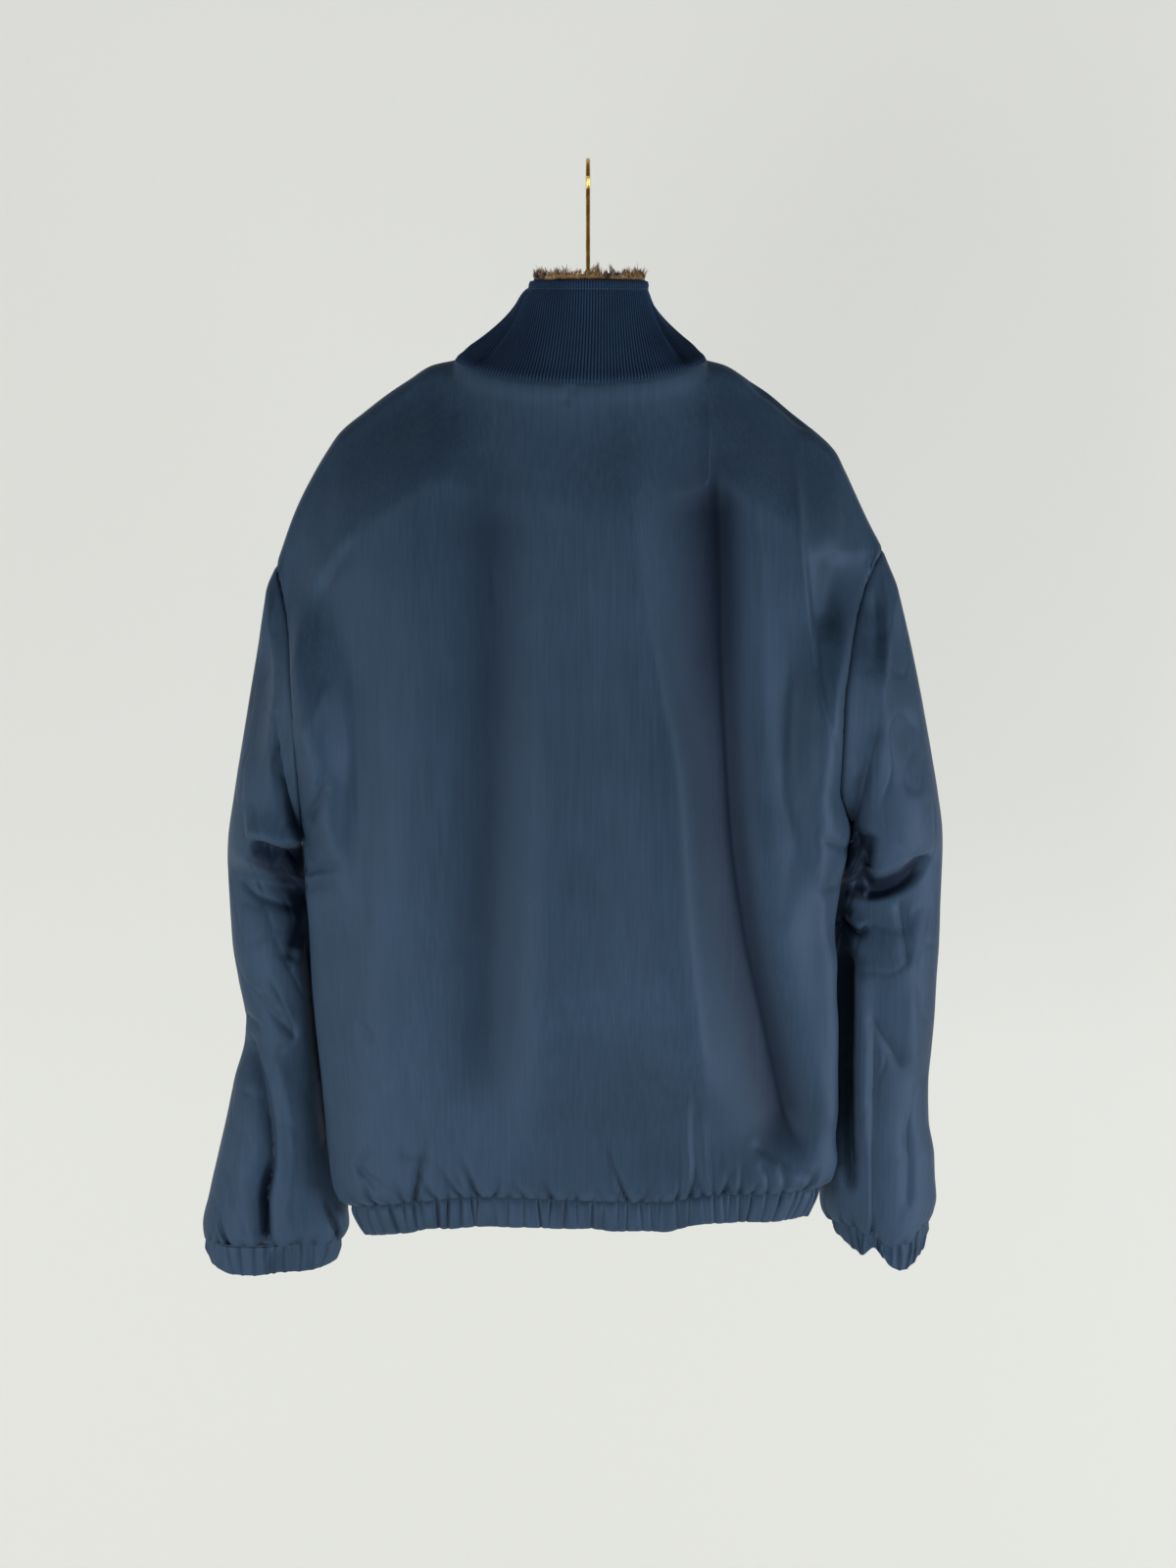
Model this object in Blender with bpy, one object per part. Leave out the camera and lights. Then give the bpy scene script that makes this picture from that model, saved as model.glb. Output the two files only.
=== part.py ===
"""A zipped blouson jacket with a pile-lined rib collar, hanging on a wooden hanger.

The shell is one closed tube of cloth: a one-piece back, two fronts and two dropped
sleeves, gathered into an elasticated waistband and cuffs. A rib-knit stand collar
carries a pile lining that stands a little above its top edge. A zip closes the front,
and its pull tab swings on the slider.

The origin is inside the top of the hook's bend, where a rod carries it. +Z is up, the
jacket's back faces +Y and the wearer's left arm is at +X. All sizes are in metres.
"""

from collections import namedtuple
import math

import bmesh
import bpy
import numpy as np

NAME = "hanging_jacket"

# Cloth and sewing.
WALL = 0.003
SEAM_GAP = 0.0003
SEAM_SETBACK = SEAM_GAP / 2

# Grid of the body panels: columns over half a neck and over one shoulder, and rows.
NECK_COLUMNS = 6
SHOULDER_COLUMNS = 10
ARMHOLE_ROWS = 12
SIDE_ROWS = 12
ROWS = ARMHOLE_ROWS + SIDE_ROWS
AROUND_SLEEVE = 2 * ARMHOLE_ROWS

# The jacket hangs this far to its left of the hook.
HANGING_OFFSET = 0.005

# Neck: half widths, and how far its seam lies behind, before and below the sides.
NECK_LEFT = 0.1054
NECK_RIGHT = 0.1032
NECK_TOP = -0.1568
NECK_BACK_DEPTH = 0.055
NECK_FRONT_DEPTH = 0.058
NECK_BACK_DROP = 0.0201
NECK_FRONT_DROP = 0.065
NECK_DROP_ROUNDNESS = 1.5

# Shoulders: the cloth turns over the hanger on this radius and then falls away.
RIDGE_RADIUS = 0.0125
RIDGE_FALL = 0.10
TIP_HEIGHT = {1: -0.326, -1: -0.3135}
ARMPIT_HEIGHT = -0.557

# Armholes: how far their seams bow out behind and in front, and how roundly. The panels
# follow them over an outer share of the half width, more softly and lower down inside.
ARMHOLE_BACK_DEPTH = 0.046
ARMHOLE_FRONT_DEPTH = 0.040
ARMHOLE_ROUNDNESS = 0.9
ARMHOLE_REACH = 0.24
ARMHOLE_SOFTENING = 6.0
ARMHOLE_TRAIL = 0.6

# Rounding of the body's cross-section towards its sides.
BACK_SQUARENESS = 3.0
BACK_TAPER = 0.6
FRONT_SQUARENESS = 2.4

# A panel's columns run straight inside and follow its wavy edge only beside it: the
# heights above and below that the straight run averages, and how close it keeps.
STRAIGHT_OVER = (-0.06, -0.03, 0.0, 0.03, 0.06)
EDGE_CLOSENESS = 5

# Folds: the shares of a fold's length over which it grows and fades, and the share of
# the body's half width over which it fades towards the side.
FOLD_GROWS = 0.3
FOLD_FADES = 0.15
SLEEVE_FOLD_FADES = 0.25
SIDE_FADE = 0.12

# Zip: the fronts, waistband and collar stop at this half width.
ZIP_HALF = 0.0078
ZIP_THICKNESS = 0.0018

# Elasticated bands.
WAISTBAND_HEIGHT = 0.030
WAISTBAND_TUCK = 0.002
WAISTBAND_PARTS = 3
CUFF_HEIGHT = 0.028
CUFF_TUCK = 0.003
CUFF_PARTS = 2
GATHER_HEIGHT = 0.0022

# Collar and its pile lining.
COLLAR_TOP_HALF = 0.0505
COLLAR_TOP_LEAN = -0.0035
COLLAR_TOP_BACK = 0.046
COLLAR_TOP_FRONT = 0.058
COLLAR_BACK_HEIGHT = -0.0965
COLLAR_SIDE_HEIGHT = -0.0935
COLLAR_FRONT_HEIGHT = -0.143
COLLAR_FLARE = 1.7
COLLAR_ROWS = 5
PILE_THICKNESS = 0.005
PILE_SEAM_THICKNESS = 0.0025
PILE_STAND = 0.0075
PILE_CROWN = 0.0018
PILE_ROUNDING = 0.3

# Hanger and hook.
HANGER_END = 0.196
HANGER_CENTRE_TOP = -0.118
HANGER_NECK_TOP = -0.1705
HANGER_CONTACT = 0.140
HANGER_STATIONS = 9
HANGER_HALF_THICKNESS = 0.006
HANGER_CENTRE_DEPTH = 0.042
HANGER_END_DEPTH = 0.020
HANGER_CLEARANCE = 0.0016
HANGER_SLOPE = 1.3
HANGER_TIP_SHARE = 0.6
HANGER_TIP_DROP = 0.2
HOOK_WIRE = 0.0018
HOOK_BEND = 0.020
HOOK_STEM_FOOT = HANGER_CENTRE_TOP + SEAM_GAP
HOOK_STEM_TOP = -0.066
HOOK_NECK_STEPS = 5
HOOK_BEND_STEPS = 22
HOOK_BEND_START = math.radians(-125)
HOOK_BEND_END = math.radians(72)

# Zip slider and pull tab.
SLIDER_BELOW_COLLAR_TOP = 0.014
SLIDER_SIZE = (0.0085, 0.0028, 0.0115)
LUG_SIZE = (0.0012, 0.0045, 0.0036)
LUG_ROOT = 0.0006
LUG_SPREAD = 0.0031
PIN_RADIUS = 0.0007
EYE_BORE = 0.0011
EYE_RADIUS = 0.0019
EYE_LENGTH = 0.0044
PIN_STANDOFF = EYE_RADIUS + 0.0004
PULL_SIZE = (0.0050, 0.0012, 0.0300)
PULL_BELOW_BORE = 0.0003
ROD_SIDES = 16

# Edges sharper than this stay sharp.
SHARP_ANGLE = math.radians(50)

# The shoulder's outer line: height, and its distance from the middle on each side.
Ridge = namedtuple("Ridge", "height left right")
RIDGE = [
    Ridge(-0.1568, 0.1054, 0.1032),
    Ridge(-0.1607, 0.1233, 0.1178),
    Ridge(-0.1735, 0.1446, 0.1391),
    Ridge(-0.1830, 0.1594, 0.1539),
    Ridge(-0.1990, 0.1809, 0.1738),
    Ridge(-0.2151, 0.2009, 0.1945),
    Ridge(-0.2312, 0.2127, 0.2112),
    Ridge(-0.2474, 0.2229, 0.2198),
    Ridge(-0.2799, 0.2402, 0.2362),
    Ridge(-0.3126, 0.2527, 0.2519),
    Ridge(-0.3260, 0.2565, 0.2560),
]

# Half widths of the body from the shoulder tips to the waistband: the armhole seams
# down to the armpits, and the side seams below them.
Width = namedtuple("Width", "height left right")
WIDTHS = [
    Width(-0.3135, 0.2530, 0.2522),
    Width(-0.3260, 0.2565, 0.2450),
    Width(-0.3450, 0.2530, 0.2372),
    Width(-0.3700, 0.2480, 0.2292),
    Width(-0.4000, 0.2436, 0.2226),
    Width(-0.4400, 0.2412, 0.2179),
    Width(-0.5100, 0.2398, 0.2180),
    Width(-0.5570, 0.2405, 0.2310),
    Width(-0.5900, 0.2400, 0.2255),
    Width(-0.6500, 0.2368, 0.2172),
    Width(-0.6900, 0.2355, 0.2155),
    Width(-0.7250, 0.2333, 0.2183),
    Width(-0.7700, 0.2296, 0.2203),
    Width(-0.8100, 0.2243, 0.2220),
    Width(-0.8450, 0.2187, 0.2215),
    Width(-0.8720, 0.2126, 0.2139),
    Width(-0.8930, 0.2053, 0.2014),
]

# How far the cloth hangs behind and before the hanger's plane, where its sides hang, and
# how soon the fronts fall back towards them, to leave room for the hanging sleeves.
Depth = namedtuple("Depth", "height back front side front_taper")
DEPTHS = [
    Depth(-0.157, 0.056, 0.058, 0.000, 0.6),
    Depth(-0.250, 0.062, 0.064, 0.000, 0.6),
    Depth(-0.350, 0.069, 0.070, 0.000, 0.6),
    Depth(-0.450, 0.073, 0.075, 0.002, 0.6),
    Depth(-0.557, 0.071, 0.076, 0.006, 0.8),
    Depth(-0.620, 0.068, 0.074, 0.009, 1.3),
    Depth(-0.700, 0.062, 0.068, 0.011, 1.9),
    Depth(-0.830, 0.050, 0.056, 0.012, 1.9),
    Depth(-0.893, 0.042, 0.046, 0.010, 1.0),
]

# The waistband's seam, from the right side to the left, behind.
Hem = namedtuple("Hem", "across height")
BACK_HEM = [
    Hem(-0.210, -0.875),
    Hem(-0.165, -0.874),
    Hem(-0.120, -0.872),
    Hem(-0.065, -0.878),
    Hem(0.000, -0.876),
    Hem(0.080, -0.873),
    Hem(0.150, -0.882),
    Hem(0.205, -0.893),
]
FRONT_HEM_MIDDLE = -0.878
FRONT_HEM_ROUNDNESS = 0.8
HEM_END_HEIGHT = {1: -0.893, -1: -0.875}

# Long soft folds: where each starts and ends, its half width and its rise, outwards.
Fold = namedtuple("Fold", "top_across foot_across top foot half_width rise")
BACK_FOLDS = [
    Fold(-0.116, -0.118, -0.200, -0.640, 0.013, -0.012),
    Fold(-0.118, -0.178, -0.600, -0.960, 0.022, -0.012),
    Fold(-0.086, -0.092, -0.300, -0.560, 0.012, -0.006),
    Fold(-0.150, -0.152, -0.230, -0.800, 0.016, 0.005),
    Fold(-0.180, -0.205, -0.260, -0.840, 0.012, 0.005),
    Fold(-0.030, -0.068, -0.300, -0.960, 0.030, 0.007),
    Fold(0.095, 0.088, -0.230, -0.960, 0.026, -0.008),
    Fold(0.160, 0.200, -0.260, -0.860, 0.018, 0.006),
    Fold(0.150, 0.165, -0.560, -0.900, 0.016, -0.006),
    Fold(0.040, 0.045, -0.560, -0.960, 0.022, 0.005),
    Fold(0.196, 0.205, -0.420, -0.640, 0.012, -0.004),
    Fold(-0.186, -0.188, -0.330, -0.560, 0.010, -0.004),
]
FRONT_FOLDS = [
    Fold(0.085, 0.070, -0.250, -0.960, 0.020, -0.008),
    Fold(0.130, 0.120, -0.260, -0.900, 0.020, 0.007),
    Fold(0.165, 0.160, -0.330, -0.800, 0.016, -0.006),
    Fold(-0.080, -0.090, -0.250, -0.960, 0.022, -0.009),
    Fold(-0.125, -0.138, -0.280, -0.880, 0.018, 0.006),
    Fold(-0.170, -0.150, -0.330, -0.820, 0.016, -0.005),
    Fold(0.045, 0.040, -0.520, -0.960, 0.016, 0.005),
    Fold(-0.045, -0.050, -0.500, -0.960, 0.018, 0.005),
]

# Sleeve rings below the armhole: the outer and the inner end of each, and how far its
# cloth hangs behind and before the hanger's plane.
Ring = namedtuple("Ring", "outer outer_height inner inner_height middle back front")
LEFT_RINGS = [
    Ring(0.2668, -0.350, 0.2440, -0.5630, 0.004, 0.040, -0.038),
    Ring(0.2740, -0.386, 0.2450, -0.5690, -0.002, 0.039, -0.043),
    Ring(0.2830, -0.430, 0.2460, -0.5760, -0.005, 0.038, -0.048),
    Ring(0.2920, -0.475, 0.2460, -0.5830, -0.009, 0.036, -0.054),
    Ring(0.3010, -0.522, 0.2450, -0.5900, -0.013, 0.033, -0.060),
    Ring(0.3085, -0.562, 0.2420, -0.5990, -0.018, 0.022, -0.065),
    Ring(0.3118, -0.595, 0.2360, -0.6120, -0.024, 0.003, -0.069),
    Ring(0.3115, -0.628, 0.2290, -0.6350, -0.028, 0.005, -0.072),
    Ring(0.3107, -0.660, 0.2240, -0.6620, -0.031, 0.009, -0.074),
    Ring(0.3066, -0.695, 0.2205, -0.6950, -0.032, 0.007, -0.074),
    Ring(0.3017, -0.731, 0.2190, -0.7310, -0.033, 0.002, -0.073),
    Ring(0.3040, -0.755, 0.2180, -0.7560, -0.033, 0.000, -0.072),
    Ring(0.3131, -0.787, 0.2175, -0.7880, -0.032, 0.003, -0.070),
    Ring(0.3214, -0.823, 0.2180, -0.8240, -0.031, 0.006, -0.068),
    Ring(0.3306, -0.860, 0.2180, -0.8600, -0.030, 0.008, -0.066),
    Ring(0.3390, -0.895, 0.2150, -0.8930, -0.028, 0.008, -0.062),
    Ring(0.3424, -0.920, 0.2115, -0.9180, -0.026, 0.005, -0.056),
    Ring(0.3370, -0.941, 0.2180, -0.9350, -0.024, -0.002, -0.048),
]
RIGHT_RINGS = [
    Ring(0.2668, -0.347, 0.2350, -0.5620, 0.004, 0.041, -0.038),
    Ring(0.2765, -0.381, 0.2365, -0.5670, -0.002, 0.041, -0.043),
    Ring(0.2880, -0.428, 0.2370, -0.5740, -0.005, 0.040, -0.048),
    Ring(0.2990, -0.478, 0.2360, -0.5810, -0.009, 0.039, -0.054),
    Ring(0.3080, -0.522, 0.2340, -0.5890, -0.013, 0.037, -0.060),
    Ring(0.3140, -0.556, 0.2305, -0.5990, -0.018, 0.030, -0.065),
    Ring(0.3165, -0.588, 0.2260, -0.6150, -0.024, 0.008, -0.069),
    Ring(0.3169, -0.622, 0.2200, -0.6380, -0.028, 0.001, -0.072),
    Ring(0.3172, -0.658, 0.2165, -0.6640, -0.030, 0.007, -0.074),
    Ring(0.3160, -0.695, 0.2145, -0.6960, -0.031, 0.010, -0.074),
    Ring(0.3152, -0.731, 0.2130, -0.7310, -0.031, 0.010, -0.073),
    Ring(0.3135, -0.760, 0.2125, -0.7600, -0.031, 0.009, -0.072),
    Ring(0.3117, -0.790, 0.2130, -0.7900, -0.031, 0.008, -0.071),
    Ring(0.3130, -0.826, 0.2145, -0.8260, -0.030, 0.008, -0.069),
    Ring(0.3193, -0.862, 0.2160, -0.8600, -0.030, 0.008, -0.067),
    Ring(0.3205, -0.898, 0.2185, -0.8900, -0.030, 0.006, -0.064),
    Ring(0.3176, -0.922, 0.2225, -0.9110, -0.029, 0.002, -0.060),
    Ring(0.3105, -0.945, 0.2330, -0.9290, -0.028, -0.003, -0.054),
]
RINGS_TO_ROUND = 5

# A sleeve's tube is made in three lengths, from one ring's number to another's.
Length = namedtuple("Length", "name first last")
SLEEVE_LENGTHS = [
    Length("upper", 0, 5),
    Length("middle", 5, 10),
    Length("lower", 10, 18),
]

# Folds along a sleeve: the angle round it from its outer edge over the back, the
# heights, the half angle and the rise.
SleeveFold = namedtuple("SleeveFold", "angle top foot half_angle rise")
LEFT_SLEEVE_FOLDS = [
    SleeveFold(62, -0.740, -0.935, 16, -0.010),
    SleeveFold(38, -0.760, -0.930, 16, 0.004),
    SleeveFold(95, -0.640, -0.930, 18, 0.004),
    SleeveFold(118, -0.620, -0.760, 16, -0.005),
    SleeveFold(250, -0.600, -0.930, 20, -0.008),
    SleeveFold(300, -0.640, -0.900, 18, 0.005),
]
RIGHT_SLEEVE_FOLDS = [
    SleeveFold(84, -0.640, -1.010, 13, -0.013),
    SleeveFold(58, -0.640, -0.920, 14, 0.004),
    SleeveFold(112, -0.640, -0.900, 12, 0.004),
    SleeveFold(135, -0.640, -0.930, 14, -0.004),
    SleeveFold(255, -0.620, -0.930, 20, -0.008),
    SleeveFold(305, -0.640, -0.900, 18, 0.005),
]

# The hanger's outline from its upper edge down one face, as shares of its half
# thickness and its depth.
HANGER_PROFILE = [
    (0.00, 0.00),
    (0.45, 0.10),
    (0.85, 0.28),
    (1.00, 0.55),
    (0.85, 0.85),
    (0.45, 1.00),
    (0.00, 1.00),
]

# Materials: colour, roughness and metallic value.
Finish = namedtuple("Finish", "colour roughness metallic")
FINISHES = {
    "shell_cloth": Finish((0.033, 0.056, 0.086), 0.45, 0.0),
    "rib_knit": Finish((0.009, 0.020, 0.045), 0.85, 0.0),
    "pile": Finish((0.110, 0.060, 0.024), 0.95, 0.0),
    "zip_chain": Finish((0.012, 0.018, 0.030), 0.40, 0.0),
    "slider_metal": Finish((0.300, 0.290, 0.270), 0.35, 1.0),
    "hanger_wood": Finish((0.360, 0.200, 0.090), 0.45, 0.0),
    "hook_brass": Finish((0.600, 0.430, 0.180), 0.28, 1.0),
}


def clear_scene():
    """Remove the objects that a new file starts with."""
    for item in list(bpy.data.objects):
        bpy.data.objects.remove(item, do_unlink=True)


def make_collection():
    """Return the collection that holds every piece."""
    collection = bpy.data.collections.new(NAME)
    bpy.context.scene.collection.children.link(collection)
    return collection


def material(slot):
    """Return the named Principled material, made once."""
    found = bpy.data.materials.get(slot)
    if found:
        return found
    finish = FINISHES[slot]
    made = bpy.data.materials.new(slot)
    made.use_nodes = True
    shader = made.node_tree.nodes["Principled BSDF"]
    shader.inputs["Base Color"].default_value = (*finish.colour, 1.0)
    shader.inputs["Roughness"].default_value = finish.roughness
    shader.inputs["Metallic"].default_value = finish.metallic
    return made


# ---------------------------------------------------------------- lines and tables


def ease(amount):
    """Rise smoothly from 0 to 1 as the amount does."""
    amount = min(max(amount, 0.0), 1.0)
    return amount * amount * (3 - 2 * amount)


def mix(first, second, share):
    """Return the point or number at this share of the way."""
    return first + (second - first) * share


def smooth_line(rows, key, value, at):
    """Read a table's column at any key, on a smooth line that never overshoots."""
    rows = sorted(rows, key=lambda row: getattr(row, key))
    knots = [getattr(row, key) for row in rows]
    values = [getattr(row, value) for row in rows]
    at = min(max(at, knots[0]), knots[-1])
    slopes = [(values[i + 1] - values[i]) / (knots[i + 1] - knots[i]) for i in range(len(rows) - 1)]
    tangents = [slopes[0]]
    for before, after in zip(slopes, slopes[1:]):
        level = before * after <= 0
        tangents.append(0.0 if level else 2 * before * after / (before + after))
    tangents.append(slopes[-1])
    index = max(i for i in range(len(rows) - 1) if knots[i] <= at or i == 0)
    step = knots[index + 1] - knots[index]
    t = (at - knots[index]) / step
    rest = 1 - t
    return (
        values[index] * rest * rest * (1 + 2 * t)
        + values[index + 1] * t * t * (3 - 2 * t)
        + tangents[index] * step * t * rest * rest
        - tangents[index + 1] * step * t * t * rest
    )


def side_name(side):
    """Name the table column of a side: 1 is the wearer's left and -1 the right."""
    return "left" if side > 0 else "right"


def fold_rise(folds, across, height):
    """Add up what the folds lift or sink the cloth at one place."""
    total = 0.0
    for fold in folds:
        along = (fold.top - height) / (fold.top - fold.foot)
        if not 0 < along < 1:
            continue
        centre = mix(fold.top_across, fold.foot_across, along)
        fade = ease(along / FOLD_GROWS) * ease((1 - along) / FOLD_FADES)
        total += fold.rise * fade * math.exp(-(((across - centre) / fold.half_width) ** 2))
    return total


# ---------------------------------------------------------------- body panels


def neck_half(side):
    """Half width of the neck seam on one side."""
    return NECK_LEFT if side > 0 else NECK_RIGHT


def tip_half(side):
    """Half width at the shoulder tip, where shoulder seam and armhole meet."""
    return smooth_line(RIDGE, "height", side_name(side), TIP_HEIGHT[side])


def body_half(side, height):
    """Half width of the body at a height."""
    if height >= TIP_HEIGHT[side]:
        return tip_half(side)
    widest = smooth_line(WIDTHS, "height", side_name(side), height)
    return min(widest, tip_half(side))


def column_across(side, share, height):
    """Distance from the middle of the column with this share of the half width."""
    straight = sum(body_half(side, height + away) for away in STRAIGHT_OVER) / len(STRAIGHT_OVER)
    at_edge = body_half(side, height) - straight
    return share * straight + share**EDGE_CLOSENESS * at_edge


def neck_round(side, across):
    """Share of the neck's depth at a distance from the middle."""
    return math.sqrt(max(0.0, 1 - (across / neck_half(side)) ** 2))


def top_height(side, across, back):
    """Height of the panel's upper edge: the neck seam, then the shoulder seam."""
    if across < neck_half(side):
        drop = NECK_BACK_DROP if back else NECK_FRONT_DROP
        return NECK_TOP - drop * neck_round(side, across) ** NECK_DROP_ROUNDNESS
    by_distance = [Ridge(-getattr(row, side_name(side)), row.height, row.height) for row in RIDGE]
    return smooth_line(by_distance, "height", "left", -across)


def armhole_depth(side, spread, height, back):
    """How far the cloth at the armhole bows out behind or in front of the seam's ends."""
    foot = ARMPIT_HEIGHT - ARMHOLE_TRAIL * (1 - spread)
    along = (TIP_HEIGHT[side] - height) / (TIP_HEIGHT[side] - foot)
    if not 0 < along < 1:
        return 0.0
    depth = ARMHOLE_BACK_DEPTH if back else -ARMHOLE_FRONT_DEPTH
    roundness = ARMHOLE_ROUNDNESS + ARMHOLE_SOFTENING * (1 - spread)
    return depth * math.sin(math.pi * along) ** roundness


def body_depth(side, across, top_across, height, back):
    """Y of the body's outer face at a place on the back or on a front."""
    spread = min(across / body_half(side, height), 1.0)
    edge = smooth_line(DEPTHS, "height", "side", height)
    if back:
        middle = smooth_line(DEPTHS, "height", "back", height)
        share = (1 - spread**BACK_SQUARENESS) ** BACK_TAPER
        relief = fold_rise(BACK_FOLDS, side * across, height)
    else:
        middle = -smooth_line(DEPTHS, "height", "front", height)
        taper = smooth_line(DEPTHS, "height", "front_taper", height)
        share = (1 - spread**FRONT_SQUARENESS) ** taper
        relief = -fold_rise(FRONT_FOLDS, side * across, height)
    bow = armhole_depth(side, spread, height, back) * ease(1 - (1 - spread) / ARMHOLE_REACH)
    hanging = mix(edge, middle, share) + bow + relief * ease((1 - spread) / SIDE_FADE)
    below = max(0.0, top_height(side, top_across, back) - height)
    turn = math.sqrt(RIDGE_RADIUS**2 - (RIDGE_RADIUS - min(below, RIDGE_RADIUS)) ** 2)
    neck_depth = NECK_BACK_DEPTH if back else NECK_FRONT_DEPTH
    start = math.hypot(neck_depth * neck_round(side, top_across), turn)
    start = start if back else -start
    return mix(start, hanging, ease(below / RIDGE_FALL))


def hem_height(side, across, back):
    """Height of the waistband's seam."""
    if back:
        return smooth_line(BACK_HEM, "across", "height", side * across)
    end = HEM_END_HEIGHT[side]
    spread = min(across / body_half(side, end), 1.0)
    return mix(end, FRONT_HEM_MIDDLE, (1 - spread**2) ** FRONT_HEM_ROUNDNESS)


def half_columns(side, from_zip):
    """Distances from the middle of a panel's columns along its upper edge."""
    neck = neck_half(side)
    start = ZIP_HALF if from_zip else 0.0
    columns = []
    for step in range(NECK_COLUMNS):
        share = step / NECK_COLUMNS
        share = (share + math.sin(share * math.pi / 2)) / 2
        columns.append(mix(start, neck, share))
    for step in range(SHOULDER_COLUMNS + 1):
        columns.append(mix(neck, tip_half(side), step / SHOULDER_COLUMNS))
    return columns


def panel_column(side, top_across, back):
    """The points of one column, from the neck or shoulder seam down to the waistband."""
    top = top_height(side, top_across, back)
    share = top_across / tip_half(side)
    zip_edge = not back and abs(top_across - ZIP_HALF) < 1e-9
    foot_across = ZIP_HALF if zip_edge else share * body_half(side, HEM_END_HEIGHT[side])
    foot = hem_height(side, foot_across, back)
    points = []
    for row in range(ROWS + 1):
        if row <= ARMHOLE_ROWS:
            along = (1 - math.cos(math.pi * row / ARMHOLE_ROWS)) / 2
            height = mix(top, ARMPIT_HEIGHT, along)
        else:
            height = mix(ARMPIT_HEIGHT, foot, (row - ARMHOLE_ROWS) / SIDE_ROWS)
        across = ZIP_HALF if zip_edge else column_across(side, share, height)
        depth = body_depth(side, across, top_across, height, back)
        points.append((side * across, depth, height))
    return points


def back_grid():
    """Rows of points over the whole back, from the right armhole to the left."""
    right = [panel_column(-1, across, True) for across in half_columns(-1, False)]
    left = [panel_column(1, across, True) for across in half_columns(1, False)]
    columns = right[::-1] + left[1:]
    return np.array(columns).transpose(1, 0, 2)


def front_grid(side):
    """Rows of points over one front, from the zip to the side."""
    columns = [panel_column(side, across, False) for across in half_columns(side, True)]
    return np.array(columns).transpose(1, 0, 2)


# ---------------------------------------------------------------- sleeves


def armhole_loop(back, front, side):
    """Points round the armhole: down the back from the shoulder tip and up the front."""
    behind = back[: ARMHOLE_ROWS + 1, -1 if side > 0 else 0]
    before = front[: ARMHOLE_ROWS + 1, -1]
    return np.concatenate([behind, before[::-1][1:-1]])


def loop_shares(loop):
    """Give each loop point its share from armpit to tip, and its share of the depth."""
    tip, armpit = loop[0], loop[ARMHOLE_ROWS]
    up = (loop[:, 2] - armpit[2]) / (tip[2] - armpit[2])
    level = tip[1] + (armpit[1] - tip[1]) * (1 - up)
    away = loop[:, 1] - level
    return up, np.where(away >= 0, away / away.max(), away / -away.min())


def sleeve_grid(side, rings, folds, loop):
    """Rings of points from the armhole down to the cuff's seam."""
    angles = np.arange(AROUND_SLEEVE) * 2 * math.pi / AROUND_SLEEVE
    round_up = (1 + np.cos(angles)) / 2
    round_away = np.sin(angles)
    loop_up, loop_away = loop_shares(loop)
    rows = [loop]
    for number, ring in enumerate(rings, start=1):
        roundness = ease(number / RINGS_TO_ROUND)
        up = mix(loop_up, round_up, roundness)
        away = mix(loop_away, round_away, roundness)
        across = mix(ring.inner, ring.outer, up)
        height = mix(ring.inner_height, ring.outer_height, up)
        depth = np.where(away >= 0, ring.back - ring.middle, ring.middle - ring.front)
        points = np.stack([side * across, ring.middle + away * depth, height], axis=1)
        centre = points.mean(axis=0)
        for fold in folds:
            along = (fold.top - ring.outer_height) / (fold.top - fold.foot)
            turn = (np.degrees(angles) - fold.angle + 180) % 360 - 180
            fade = ease(along / SLEEVE_FOLD_FADES) * ease((1 - along) / SLEEVE_FOLD_FADES)
            lift = fold.rise * fade * np.exp(-((turn / fold.half_angle) ** 2))
            outwards = points - centre
            outwards[:, 2] = 0
            outwards /= np.linalg.norm(outwards, axis=1)[:, None]
            points = points + outwards * lift[:, None]
        rows.append(points)
    return np.array(rows)


# ---------------------------------------------------------------- walls and solids


def place(point):
    """Name a point so that pieces that meet there share it."""
    return tuple(np.round(point, 6))


def add_normals(total, grid, round_closed, outwards):
    """Add each face's area-weighted normal to the points at its corners."""
    if round_closed:
        grid = np.concatenate([grid, grid[:, :1]], axis=1)
    first = grid[1:, 1:] - grid[:-1, :-1]
    second = grid[1:, :-1] - grid[:-1, 1:]
    normals = np.cross(first, second) * outwards
    for row, column in np.ndindex(normals.shape[:2]):
        for corner in (
            grid[row, column],
            grid[row + 1, column],
            grid[row, column + 1],
            grid[row + 1, column + 1],
        ):
            total[place(corner)] = total.get(place(corner), 0) + normals[row, column]


def inner_face(grid, total, wall):
    """Return the wall's inside: each point moved in along the shared normal."""
    inside = np.empty_like(grid)
    for index in np.ndindex(grid.shape[:2]):
        normal = total[place(grid[index])]
        inside[index] = grid[index] - normal / np.linalg.norm(normal) * wall
    return inside


def square_to_zip(outer, inner, column):
    """Keep the wall's edge beside the zip upright, facing the other front."""
    inner[:, column, 0] = outer[:, column, 0]


def set_back(outer, inner, top=False, foot=False, start=False, end=False):
    """Draw the named edges of a wall back by half a seam gap."""
    edges = [
        (top, (0, slice(None)), (1, slice(None))),
        (foot, (-1, slice(None)), (-2, slice(None))),
        (start, (slice(None), 0), (slice(None), 1)),
        (end, (slice(None), -1), (slice(None), -2)),
    ]
    for wanted, edge, neighbour in edges:
        if not wanted:
            continue
        step = outer[neighbour] - outer[edge]
        step *= SEAM_SETBACK / np.linalg.norm(step, axis=1)[:, None]
        outer[edge] += step
        inner[edge] += step


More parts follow.
